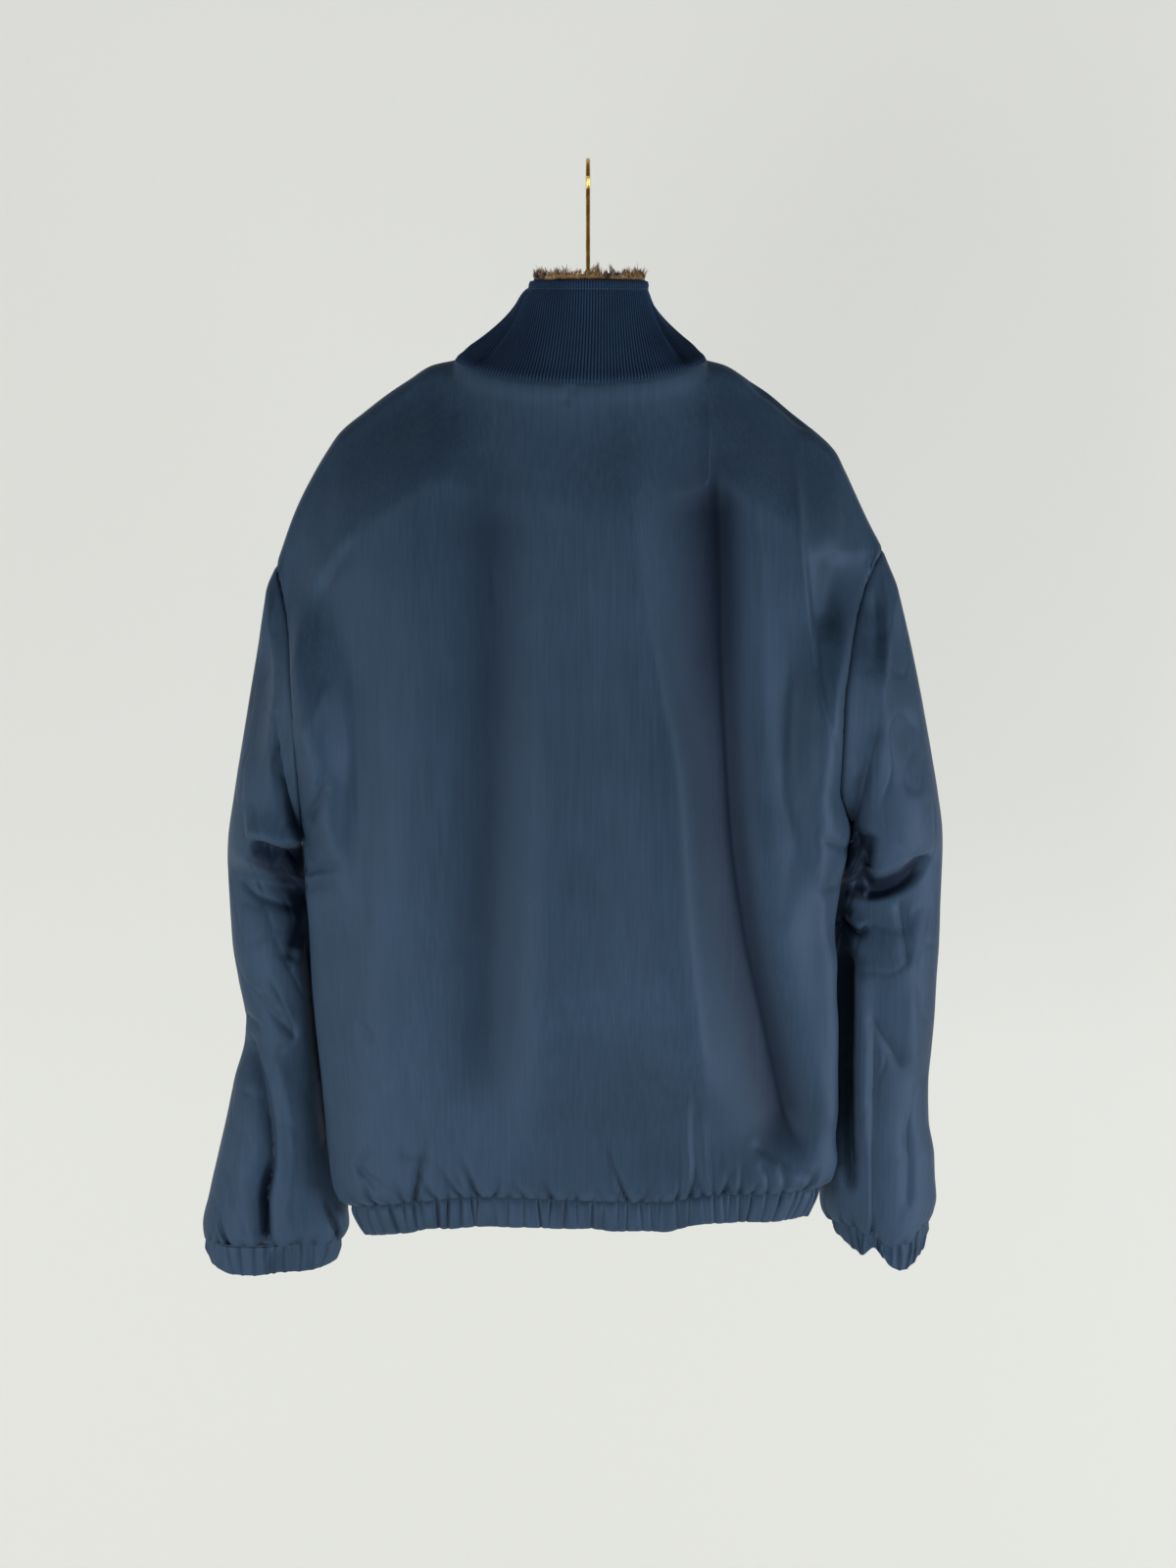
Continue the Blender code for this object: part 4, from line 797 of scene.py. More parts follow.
def make_gathers(length, closest, widest, seed):
    """Unevenly spaced gathers along a seam of this length."""
    chance = np.random.default_rng(seed)
    gathers = []
    at = chance.uniform(0, closest)
    while at < length:
        strong = chance.uniform() ** 1.6
        gathers.append(
            Gather(
                at,
                chance.uniform(1.4, 2.6) * MM,
                mix(1.6, 5.2, strong) * MM,
                mix(10, 70, chance.uniform() * strong + 0.12) * MM,
                chance.uniform(-0.45, 0.45),
            )
        )
        at += chance.uniform(closest, widest)
    return gathers


def gather_lift(gathers, along, above):
    """How far the gathers pinch the cloth in, this far above their seam."""
    total = np.zeros(np.broadcast(along, above).shape)
    for gather in gathers:
        left = np.clip(1 - above / gather.reach, 0, 1)
        width = gather.half_width * (1 + 0.9 * above / gather.reach)
        away = (along - gather.centre - gather.lean * above) / width
        total -= gather.rise * left**1.4 * np.exp(-(away**2))
    return total


def run_of(points):
    """Distance run along a line of points."""
    steps = np.linalg.norm(np.diff(points, axis=0), axis=1)
    return np.concatenate([[0.0], np.cumsum(steps)])


# %% [markdown]
# ## From a surface to cloth
#
# The shell is two surfaces: the outer one carries every fold, and the inner one, the pile
# side, follows the deepest sink nearby, so the two never cross. The inner one doesn't show
# much, so it takes a third of the rows and columns. Along each edge the two are joined.

# %% Building a panel
WALL = 0.0016
INNER_STEP = 3


def deepest_nearby(lift, closed):
    """The lowest lift within a few points of each one."""
    reach = INNER_STEP + 1
    lowest = lift.copy()
    for step in range(1, reach + 1):
        down = np.pad(lift, ((step, step), (0, 0)), mode="edge")
        lowest = np.minimum(lowest, np.minimum(down[: -2 * step], down[2 * step :]))
    found = lowest.copy()
    for step in range(1, reach + 1):
        across = np.pad(found, ((0, 0), (step, step)), mode="wrap" if closed else "edge")
        lowest = np.minimum(lowest, np.minimum(across[:, : -2 * step], across[:, 2 * step :]))
    return lowest


def every(count, closed):
    """Indices of the rows or columns that the inner surface keeps."""
    kept = list(range(0, count, INNER_STEP))
    if not closed and kept[-1] != count - 1:
        kept.append(count - 1)
    return np.array(kept)


def quads(numbers, closed, flip):
    """Faces of a grid of point numbers."""
    following = np.roll(numbers, -1, axis=1) if closed else numbers[:, 1:]
    here = numbers if closed else numbers[:, :-1]
    corners = [here[:-1], following[:-1], following[1:], here[1:]]
    if flip:
        corners = corners[::-1]
    return np.stack(corners, axis=-1).reshape(-1, 4).tolist()


# %% Mesh objects


def add_piece(name, points, faces, materials=(), face_materials=None):
    """Make a smooth mesh object from points in the jacket's own place."""
    points = np.array(points, dtype=float)
    points[:, 0] += HANGING_OFFSET
    mesh = bpy.data.meshes.new(name)
    mesh.from_pydata(points.tolist(), [], faces)
    for item in materials:
        mesh.materials.append(item)
    if face_materials is not None:
        mesh.polygons.foreach_set("material_index", np.array(face_materials, dtype=np.int32))
    mesh.update()
    mesh.shade_smooth()
    piece = bpy.data.objects.new(name, mesh)
    bpy.context.scene.collection.objects.link(piece)
    return piece


def keep_value(piece, name, values):
    """Store a number on each point of a mesh; points past the list's end get none."""
    filled = np.zeros(len(piece.data.vertices), dtype=np.float32)
    filled[: values.size] = values.reshape(-1)
    stored = piece.data.attributes.new(name, "FLOAT", "POINT")
    stored.data.foreach_set("value", filled)


# %% A panel of two surfaces


def panel(name, base, lift, shade, outward, closed, materials):
    """A thin panel of cloth: the outer surface with its folds and a plainer inner one."""
    normals = grid_normals(base, outward, closed)
    outer = base + normals * lift[..., None]
    rows, columns = every(len(base), False), every(base.shape[1], closed)
    sink = (np.minimum(deepest_nearby(lift, closed), 0) - WALL)[..., None]
    inner = (base + normals * sink)[rows][:, columns]
    points = np.concatenate([outer.reshape(-1, 3), inner.reshape(-1, 3)])
    out = np.arange(outer.shape[0] * outer.shape[1]).reshape(outer.shape[:2])
    inn = np.arange(inner.shape[0] * inner.shape[1]).reshape(inner.shape[:2]) + out.size
    flip = outward < 0
    faces = quads(out, closed, flip)
    outer_count = len(faces)
    inner_faces = quads(inn, closed, not flip)
    rims = []

    def join(out_line, in_line, picks, turned):
        """Join an outer edge to the inner one, one inner point to the next."""
        for a, b, i, j in zip(picks, picks[1:], in_line, in_line[1:]):
            rim = list(out_line[a : b + 1])[::-1] + [i, j]
            rims.append(rim[::-1] if turned else rim)

    top_picks = list(columns) + ([base.shape[1]] if closed else [])
    around = (lambda line: np.append(line, line[0])) if closed else (lambda line: line)
    join(around(out[0]), around(inn[0]), top_picks, flip)
    join(around(out[-1]), around(inn[-1]), top_picks, not flip)
    if not closed:
        join(out[:, 0], inn[:, 0], list(rows), not flip)
        join(out[:, -1], inn[:, -1], list(rows), flip)
    faces = faces + [[int(v) for v in rim] for rim in rims] + inner_faces
    inside = [0] * (outer_count + len(rims)) + [1] * len(inner_faces)
    piece = add_piece(name, points, faces, materials, inside)
    piece.data.set_sharp_from_angle(angle=math.radians(60))
    # Painted shade: how far the finish darkens each outer point.
    keep_value(piece, "in_trough", shade)
    return piece, outer


# %% [markdown]
# ## The body panels
#
# The back carries the photographed folds, the seam grooves, the puckers beside the
# armholes and the hem's gathers. A seam pulls the cloth in by a millimetre and leaves it
# standing a little proud on each side. Folds fade where the panel turns away to its side, so
# the outline stays clean.

# %% Seams, puckers and the puffed hem
SEAM_WIDTH = 2.0 * MM
SEAM_SWELL = 1.0 * MM
PUFF = 5.5 * MM
PUFF_HEIGHT = 0.060


def seam_groove(distance):
    """A pressed seam: the cloth stands proud beside it and meets its neighbour in a groove."""
    return SEAM_SWELL * (1 - np.exp(-((distance / SEAM_WIDTH) ** 2))) * np.exp(-((distance / 0.013) ** 2))


def grid_runs(base):
    """Distance run across each row, and down each column, of a grid."""
    across = np.linalg.norm(np.diff(base, axis=1), axis=2)
    down = np.linalg.norm(np.diff(base, axis=0), axis=2)
    across = np.concatenate([np.zeros((len(base), 1)), np.cumsum(across, axis=1)], axis=1)
    down = np.concatenate([np.zeros((1, base.shape[1])), np.cumsum(down, axis=0)], axis=0)
    return across, down


# %% Puckers, shading and the swell at the hem


def puckers(distance, down, spacing, reach, rise, seed, slope):
    """Short slanting strokes that start at a seam and run into the cloth."""
    chance = np.random.default_rng(seed)
    total = np.zeros(distance.shape)
    at = spacing
    while at < down.max() - spacing:
        width = chance.uniform(1.8, 2.8) * MM
        length = reach * chance.uniform(0.6, 1.3)
        strength = rise * chance.uniform(0.4, 1.1)
        away = (down - at - slope * distance) / width
        fade = np.clip(1 - distance / length, 0, 1) ** 1.3
        total -= strength * fade * np.exp(-(away**2))
        at += spacing * chance.uniform(0.5, 1.5)
    return total


def shade_of(fine, seam_distance):
    """How much shade is painted into short sharp folds and a seam's groove, from 0 to 1."""
    return np.clip(-fine / (4.5 * MM), 0, 0.75) + 0.7 * np.exp(-((seam_distance / (1.5 * MM)) ** 2))


def puffed(above):
    """The cloth swells over the band that it is gathered into."""
    return PUFF * ease((above + 0.001) / 0.011) * ease((PUFF_HEIGHT - above) / 0.050)


# %% The back
BACK_SHADED_AT = 15
ARMHOLE_SLANT = -1.4

normals = grid_normals(base_back, 1)
across, height = base_back[..., 0], base_back[..., 2]
runs_across, runs_down = grid_runs(base_back)
from_right = runs_across
from_left = runs_across[:, -1:] - runs_across
below_top = runs_down
above_hem = runs_down[-1:] - runs_down
facing = ease(np.abs(normals[..., 1]) / 0.55)

lift, shade = all_creases(BACK_CREASES, across, height, BACK_SHADED_AT)
lift *= facing
lift += unevenness(across, height, 11) * facing * ease(below_top / 0.05) * ease(above_hem / 0.03)
lift += seam_groove(from_left) + seam_groove(from_right)
in_armhole = height > ARMPIT_HEIGHT - 0.01
fine = puckers(from_left, runs_down, 0.015, 0.024, 2.0 * MM, 21, ARMHOLE_SLANT) * in_armhole * facing
fine += puckers(from_right, runs_down, 0.019, 0.020, 1.7 * MM, 22, ARMHOLE_SLANT) * in_armhole * facing
back_gathers = make_gathers(runs_across[-1, -1], 0.006, 0.0145, 31)
fine += gather_lift(back_gathers, runs_across[-1:], above_hem)
lift += fine + puffed(above_hem)
shade = shade * facing + shade_of(fine, np.minimum(from_left, from_right))
lift -= 0.6 * MM * np.exp(-((below_top / 0.0022) ** 2))
cloth_materials = []
back, back_outer = panel("back_panel", base_back, lift, shade, 1, False, cloth_materials)
print("back folds from %.1f to %.1f mm" % (lift.min() / MM, lift.max() / MM))

# %% The fronts
FRONT_SHADED_AT = 20
fronts, front_outer, front_gathers = {}, {}, {}
for side in (1, -1):
    base = base_front[side]
    normals = grid_normals(base, -side)
    across, height = base[..., 0], base[..., 2]
    runs_across, runs_down = grid_runs(base)
    from_side = runs_across[:, -1:] - runs_across
    above_hem = runs_down[-1:] - runs_down
    facing = ease(np.abs(normals[..., 1]) / 0.55)
    from_zip = ease(runs_across / 0.012)
    lift, shade = all_creases(FRONT_CREASES, across, height, FRONT_SHADED_AT)
    lift, shade = lift * facing * from_zip, shade * facing * from_zip
    lift += unevenness(across, height, 41 + side) * facing * from_zip * ease(runs_down / 0.05)
    lift += seam_groove(from_side) + 0.8 * MM * np.exp(-(((runs_across - 4 * MM) / (2 * MM)) ** 2))
    fine = puckers(from_side, runs_down, 0.02, 0.018, 1.2 * MM, 43 + side, ARMHOLE_SLANT) * facing
    gathers = make_gathers(runs_across[-1, -1], 0.006, 0.0145, 51 + side)
    fine += gather_lift(gathers, runs_across[-1:], above_hem) * from_zip
    lift += fine + puffed(above_hem) * from_zip
    shade += shade_of(fine, from_side)
    lift -= 0.6 * MM * np.exp(-((runs_down / 0.0022) ** 2))
    name = f"front_panel_{SIDE_NAME[side]}"
    fronts[side], front_outer[side] = panel(name, base, lift, shade, -side, False, cloth_materials)
    front_gathers[side] = gathers

# %% [markdown]
# ## The sleeves
#
# The same folds, placed round a tube. A fold in the list for the back counts only on the
# half that faces back, and the hidden half has its own. Above the cuff the cloth crumples,
# because the cuff takes it in to a third of its width.

# %% The sleeves
CUFF_CRUMPLE = 0.05
SLEEVE_SHADED_AT = 12
SLEEVE_ROUND = 0.30
sleeves, sleeve_outer, cuff_gathers = {}, {}, {}
for side, seen in ((1, LEFT_SLEEVE_CREASES), (-1, RIGHT_SLEEVE_CREASES)):
    base = base_sleeve[side]
    normals = grid_normals(base, -side, True)
    across, height = base[..., 0], base[..., 2]
    _, runs_down = grid_runs(base)
    above_cuff = runs_down[-1:] - runs_down
    around = np.arange(AROUND_SLEEVE) / AROUND_SLEEVE * SLEEVE_ROUND
    behind = ease(normals[..., 1] / 0.45)
    before = ease(-normals[..., 1] / 0.45)
    shaded_at = SLEEVE_SHADED_AT
    hidden, hidden_shade = all_creases(HIDDEN_SLEEVE_CREASES, np.abs(across), height, shaded_at)
    shown, _ = all_creases(seen, across, height, shaded_at)
    _, shown_shade = all_creases(seen + SLEEVE_PAINTED_SHADE[side], across, height, shaded_at)
    lift = shown * behind + hidden * before
    shade = shown_shade * ease((normals[..., 1] + 0.35) / 0.5) + hidden_shade * before
    swells = 1.3 * unevenness(np.broadcast_to(around, height.shape), height, 61 + side, 0.5)
    closing = ease(np.minimum(around, SLEEVE_ROUND - around) / 0.03)
    lift += swells * closing * ease(runs_down / 0.02) * ease(above_cuff / 0.02)
    lift += seam_groove(runs_down)
    gathers = make_gathers(SLEEVE_ROUND, 0.0075, 0.0155, 71 + side)
    taper = np.clip(above_cuff / CUFF_CRUMPLE, 0, 1)
    fine = 1.5 * gather_lift(gathers, around[None, :], above_cuff) * closing
    lift += fine
    shade += shade_of(fine, runs_down)
    lift += (0.7 + 0.5 * ripples(around[None, :], above_cuff, 0.031, 1.0, 68 + side)) * puffed(above_cuff)
    name = f"sleeve_{SIDE_NAME[side]}"
    sleeves[side], sleeve_outer[side] = panel(name, base, lift, shade, -side, True, cloth_materials)
    cuff_gathers[side] = gathers
    print(name, "folds from %.1f to %.1f mm" % (lift.min() / MM, lift.max() / MM))

# %% [markdown]
# ## Waistband and cuffs
#
# Each band is a strip folded in half over elastic. Its section is a slim loop: down the
# outside, round the folded foot and up the inside. The loop is carried along the seam that
# the cloth ends in, and every gather pinches it, so the folded edge waves a little too.

# %% Bands
BandPoint = namedtuple("BandPoint", "out down")
BAND_SECTION = table(
    BandPoint,
    (-4.0, -1.5),
    (-3.0, 0.0),
    (-1.9, 1.2),
    (-0.9, 3.0),
    (0.1, 7.0),
    (0.5, 13.0),
    (0.4, 20.0),
    (0.0, 25.5),
    (-0.8, 28.6),
    (-2.2, 30.0),
    (-3.6, 29.4),
    (-4.3, 27.0),
    (-4.4, 20.0),
    (-4.4, 10.0),
    (-4.3, 1.0),
)
BAND_DEPTH = 0.028


def even_points(line, count, closed):
    """Evenly spaced points along a line, and the distance run to each."""
    if closed:
        line = np.vstack([line, line[:1]])
    run = run_of(line)
    wanted = np.linspace(0, run[-1], count + 1)[:-1] if closed else np.linspace(0, run[-1], count)
    return np.stack([np.interp(wanted, run, line[:, axis]) for axis in range(3)], axis=-1), wanted


def smooth_section(section, rows):
    """The band's section, with its corners rounded, in metres."""
    points = np.array(section) * MM
    run = run_of(points)
    wanted = np.linspace(0, run[-1], rows)
    points = np.stack([np.interp(wanted, run, points[:, axis]) for axis in (0, 1)], axis=-1)
    for _ in range(2):
        points[1:-1] = (points[:-2] + 2 * points[1:-1] + points[2:]) / 4
    return points


# %% A gathered band


def band(name, edge, count, closed, deep, draw_in, gathers, outward, seed, rows=28):
    """A gathered band on an edge; its depth and how far its foot is drawn in go by place."""
    points, run = even_points(edge, count, closed)
    if closed:
        along = np.roll(points, -1, axis=0) - np.roll(points, 1, axis=0)
    else:
        along = np.gradient(points, axis=0)
    away = np.stack([-along[:, 1], along[:, 0], np.zeros(count)], axis=-1) * outward
    away /= np.linalg.norm(away, axis=1, keepdims=True)
    section = smooth_section(BAND_SECTION, rows)
    out, share = section[:, :1], section[:, 1:] / (30 * MM)
    fall = np.clip(share, 0, 1)
    down = share * deep(points)[None, :]
    tucked_in = np.maximum(0.0, BAND_DEPTH - deep(points))
    down[0] -= tucked_in
    down[-1] -= tucked_in
    pinch = np.zeros((rows, count))
    chance = np.random.default_rng(seed)
    for gather in gathers:
        sway = chance.uniform(-3.0, 3.0) * MM
        width = chance.uniform(1.2, 2.4) * MM
        gap = run[None, :] - gather.centre - sway * fall
        depth = mix(1.2, 3.0, chance.uniform() ** 1.5) * MM * mix(1.0, chance.uniform(0.3, 1.0), fall)
        pinch -= depth * np.exp(-((gap / width) ** 2))
    pinch += 0.8 * MM * ripples(run[None, :], down, 0.011, 0.024, seed + 1)
    foot_wave = 1.6 * MM * ripples(run, run * 0, 0.024, 1.0, seed + 2)
    lift = out + pinch * ease(share / 0.14) - 2 * MM * fall**1.4
    grid = points[None] + away[None] * lift[..., None]
    grid[..., 0] += draw_in(points)[None, :] * fall**1.3
    grid[..., 2] -= down + foot_wave[None, :] * fall**3
    numbers = np.arange(rows * count).reshape(rows, count)
    faces = quads(numbers, closed, outward < 0)
    if not closed:
        faces.append([int(v) for v in numbers[::-1, 0]])
        faces.append([int(v) for v in numbers[:, -1]])
    piece = add_piece(name, grid.reshape(-1, 3), faces, cloth_materials)
    # Painted shade: the gathers' pinches darken the band's colour.
    keep_value(piece, "in_trough", np.clip(-pinch / (4 * MM), 0, 0.8))
    return piece


# %% The waistband
waist_edge = np.concatenate(
    [base_front[-1][-1], base_back[-1, 1:], base_front[1][-1][::-1][1:]]
)
waist_run = run_of(waist_edge)
turns = np.cumsum([0, base_front[-1].shape[1] - 1, base_back.shape[1] - 1])
waist_gathers = []
for start, gathers, backwards in (
    (waist_run[turns[0]], front_gathers[-1], False),
    (waist_run[turns[1]], back_gathers, False),
    (waist_run[-1], front_gathers[1], True),
):
    for gather in gathers:
        centre = start - gather.centre if backwards else start + gather.centre
        waist_gathers.append(gather._replace(centre=centre))
waistband = band(
    "waistband_piece",
    waist_edge,
    1250,
    False,
    lambda points: np.full(len(points), 0.030),
    lambda points: -0.011 * np.sign(points[:, 0]) * ease((np.abs(points[:, 0]) - 0.12) / 0.085),
    waist_gathers,
    1,
    81,
)

# %% The cuffs
cuffs = {}
for side in (1, -1):
    edge = base_sleeve[side][-1]
    scale = run_of(np.vstack([edge, edge[:1]]))[-1] / SLEEVE_ROUND
    gathers = [g._replace(centre=g.centre * scale) for g in cuff_gathers[side]]
    name = f"cuff_piece_{SIDE_NAME[side]}"
    cuffs[side] = band(
        name,
        edge,
        420,
        True,
        lambda points, side=side: cuff_shape(side, points[:, 0], "deep"),
        lambda points: -0.12 * (points[:, 0] - points[:, 0].mean()),
        gathers,
        side,
        91 + side,
    )
print("waistband runs %.3f m, %d gathers" % (waist_run[-1], len(waist_gathers)))

# %% [markdown]
# ## The knitted collar
#
# The stand collar is rib knit: columns of stitches that stand up as fine vertical ribs with
# grooves between them. Its top edge is turned over and held by one line of stitching, which
# presses the ribs flat. The ribs are real geometry here, because they catch the light and
# show along the collar's edges. Each rib has six columns of points, and each point keeps
# how far it stands out of its groove, so that the finish can paint shade into the grooves
# and light onto the ribs' tops.

# %% The collar's edges
COLLAR_TOP_HALF = 0.0505
COLLAR_TOP_LEAN = -0.0035
COLLAR_TOP_DEPTH = {True: 0.046, False: 0.058}
COLLAR_BACK_HEIGHT = -0.0965
COLLAR_SIDE_HEIGHT = -0.0935
COLLAR_FRONT_HEIGHT = -0.143
COLLAR_FLARE = 1.7
COLLAR_COLUMNS = 1165
RIB_COUNT = 194
RIB_HEIGHT = 0.9 * MM
STITCH_BELOW_TOP = 6.0 * MM


def collar_top_edge(neck_edge):
    """Points of the collar's top edge above the points of the neck seam."""
    x, y = neck_edge[:, 0], neck_edge[:, 1]
    half = np.where(x > 0, NECK_HALF[1], NECK_HALF[-1])
    turn = np.arctan2(x / half, y / np.where(y > 0, NECK_DEPTH[True], -NECK_DEPTH[False]))
    behind, before = np.maximum(np.cos(turn), 0), np.maximum(-np.cos(turn), 0)
    height = mix(mix(COLLAR_SIDE_HEIGHT, COLLAR_BACK_HEIGHT, behind), COLLAR_FRONT_HEIGHT, before)
    deep = np.where(y > 0, COLLAR_TOP_DEPTH[True], COLLAR_TOP_DEPTH[False])
    turn = turn + 0.45 * np.sin(turn) + 0.10 * np.sin(2 * turn)
    across = COLLAR_TOP_LEAN * (1 - before) + COLLAR_TOP_HALF * np.sin(turn)
    points = np.stack([across, deep * np.cos(turn), height], axis=-1)
    points[0, :2], points[-1, :2] = neck_edge[0, :2], neck_edge[-1, :2]
    return points


neck_line = np.concatenate(
    [
        base_front[-1][0, : NECK_COLUMNS + 1],
        base_back[0, SHOULDER_COLUMNS + 1 : -SHOULDER_COLUMNS],
        base_front[1][0, :NECK_COLUMNS][::-1],
    ]
)
neck_edge, neck_run = even_points(neck_line, COLLAR_COLUMNS, False)
top_edge = collar_top_edge(neck_edge)
print("neck seam %.3f m, collar top %.3f m" % (neck_run[-1], run_of(top_edge)[-1]))

# %% The collar's surface
COLLAR_ROWS = 28
TURNOVER = [(0.0, 0.0), (-0.5, 0.9), (-1.5, 1.2), (-2.5, 0.8), (-3.0, -0.4), (-3.1, -4.0), (-3.1, -9.0)]


def leaning_in(points, share):
    """Draw a row of the collar in on the wearer's left, where its top edge leans."""
    points[:, 0] -= 5 * MM * ease((share - 0.78) / 0.22) * ease(points[:, 0] / 0.045)
    return points


def collar_place(share):
    """A row of the collar, at this share of its height."""
    points = mix(neck_edge, top_edge, 1 - (1 - share) ** COLLAR_FLARE)
    points[:, 2] = mix(neck_edge[:, 2], top_edge[:, 2], share)
    return leaning_in(points, share)


def level_outwards(row):
    """Horizontal directions away from the collar's inside, along one row."""
    along = np.gradient(row, axis=0)
    away = np.stack([-along[:, 1], along[:, 0], np.zeros(len(row))], axis=-1)
    return away / np.linalg.norm(away, axis=1, keepdims=True)


collar_base = np.array([collar_place(share) for share in np.linspace(0, 1, COLLAR_ROWS)])
collar_facing = grid_normals(collar_base, -1)
print("collar faces back by", round(float(collar_facing[10, COLLAR_COLUMNS // 2, 1]), 2))

# %% Ribs, folds and the stitched line of the collar
rib_turn = 2 * np.pi * RIB_COUNT * np.linspace(0, 1, COLLAR_COLUMNS)
rib = RIB_HEIGHT * (0.5 - 0.5 * np.cos(rib_turn)) ** 0.8
runs_up = np.concatenate(
    [np.zeros((1, COLLAR_COLUMNS)), np.cumsum(np.linalg.norm(np.diff(collar_base, axis=0), axis=2), axis=0)]
)
below_top = runs_up[-1:] - runs_up
pressed = 1 - 0.85 * np.exp(-(((below_top - STITCH_BELOW_TOP) / (1.3 * MM)) ** 2))
rolled = 0.5 * MM * np.exp(-(((below_top - 2.4 * MM) / (2.6 * MM)) ** 2))
stitched_in = -0.5 * MM * np.exp(-(((below_top - STITCH_BELOW_TOP) / (1.5 * MM)) ** 2))
seamed = -1.0 * MM * np.exp(-((runs_up / (2.0 * MM)) ** 2)) + 0.7 * MM * np.exp(
    -(((runs_up - 5 * MM) / (3.5 * MM)) ** 2)
)
share_round = np.linspace(-1, 1, COLLAR_COLUMNS)[None, :]
folds_round = 0.0
for centre, width, rise in (
    (-0.62, 0.030, -2.2),
    (-0.50, 0.045, 3.5),
    (-0.36, 0.022, -3.2),
    (-0.27, 0.040, 1.2),
    (0.04, 0.060, -0.8),
    (0.24, 0.035, 1.0),
    (0.34, 0.022, -3.0),
    (0.46, 0.050, 3.2),
    (0.63, 0.035, -1.6),
):
    folds_round = folds_round + rise * MM * np.exp(-(((share_round - centre) / width) ** 2))
shape_up = ease(runs_up / 0.02) * ease(below_top / 0.02 + 0.35)
collar_lift = folds_round * shape_up + rib[None, :] * pressed + rolled + stitched_in + seamed
collar_lift += 0.5 * MM * ripples(share_round * 0.25, runs_up, 0.03, 0.03, 101)
collar_outer = collar_base + collar_facing * collar_lift[..., None]

# %% The collar's turned edge
top_away = level_outwards(collar_base[-1])
rim_rows = []
for out, up in TURNOVER[1:]:
    row = collar_outer[-1] + top_away * out * MM
    row[:, 2] += up * MM
    rim_rows.append(row)
collar_points = np.concatenate([collar_outer, np.array(rim_rows)])
count = len(collar_points)
numbers = np.arange(count * COLLAR_COLUMNS).reshape(count, COLLAR_COLUMNS)
collar_faces = quads(numbers, False, True)
collar = add_piece("collar_knit", collar_points.reshape(-1, 3), collar_faces, [])
# Painted light and shade: 1 on a rib's top and 0 in its groove; the knit's colour follows it.
keep_value(collar, "stands_out", np.broadcast_to(rib / RIB_HEIGHT, collar_points.shape[:2]))
turned_edge = collar.modifiers.new("turned_edge", "SOLIDIFY")
turned_edge.thickness = 0.8 * MM
turned_edge.offset = -1

# %% [markdown]
# ### Stitches
#
# The line below the collar's edge is a lockstitch: short thread loops that dive into the
# knit and come up again. Each is a small arched, tapered bead laid on the cloth.

# %% Stitches on the collar
STITCH_PITCH = 2.9 * MM
STITCH_LENGTH = 2.3 * MM
THREAD = 0.32 * MM


def beads(starts, ends, outwards, radius, arch, sides=6, rings=5):
    """Many small arched threads as one list of points and faces."""
    points, faces = [], []
    for start, end, out in zip(starts, ends, outwards):
        ahead = (end - start) / np.linalg.norm(end - start)
        aside = np.cross(ahead, out)
        first = len(points)
        for ring in range(rings):
            share = ring / (rings - 1)
            swell = math.sin(math.pi * (0.12 + 0.76 * share))
            centre = mix(start, end, share) + out * arch * math.sin(math.pi * share)
            for side in range(sides):
                angle = 2 * math.pi * side / sides
                offset = math.cos(angle) * aside + math.sin(angle) * out
                points.append(centre + offset * radius * swell)
        for ring in range(rings - 1):
            for side in range(sides):
                a = first + ring * sides + side
                b = first + ring * sides + (side + 1) % sides
                faces.append([a, b, b + sides, a + sides])
        faces.append([first + side for side in range(sides)][::-1])
        faces.append([first + (rings - 1) * sides + side for side in range(sides)])
    return points, faces


# %% Where the stitches lie
stitch_row = int(np.argmin(np.abs(below_top[:, COLLAR_COLUMNS // 2] - STITCH_BELOW_TOP)))
stitch_line = collar_outer[stitch_row]
stitch_run = run_of(stitch_line)
stitch_out = collar_facing[stitch_row]
stitch_starts = np.arange(3 * MM, stitch_run[-1] - 4 * MM, STITCH_PITCH)


def on_line(line, run, at):
    """Points at these distances along a line."""
    return np.stack([np.interp(at, run, line[:, axis]) for axis in range(3)], axis=-1)


outs = on_line(stitch_out, stitch_run, stitch_starts)
outs /= np.linalg.norm(outs, axis=1, keepdims=True)
first_ends = on_line(stitch_line, stitch_run, stitch_starts) + outs * 0.1 * MM
last_ends = on_line(stitch_line, stitch_run, stitch_starts + STITCH_LENGTH) + outs * 0.1 * MM
points, faces = beads(first_ends, last_ends, outs, THREAD, 0.35 * MM)
collar_stitches = add_piece("collar_stitches", points, faces)
print(len(stitch_starts), "stitches on the collar")

# %% [markdown]
# ## The pile lining
#
# The lining is a knitted ground with long soft pile. Inside the collar it is a padded strip,
# and above the collar's edge its tufts stick up and curl over. The strip gives the body, and
# thousands of small tapered locks give the shaggy outline. A hair system would be lost in
# an exported model, so the locks are mesh. At the zip the strip stays behind the tape.

# %% The pile's strip
PILE_COLUMNS = 361
PILE_ROWS = 22
PILE_ENDS = 14
PILE_BEHIND = 3.8 * MM


def steady_outwards(row):
    """Directions away from the collar's inside, without a turn where the row ends at the zip."""
    away = level_outwards(row)
    away[:PILE_ENDS], away[-PILE_ENDS:] = away[PILE_ENDS], away[-PILE_ENDS - 1]
    return away


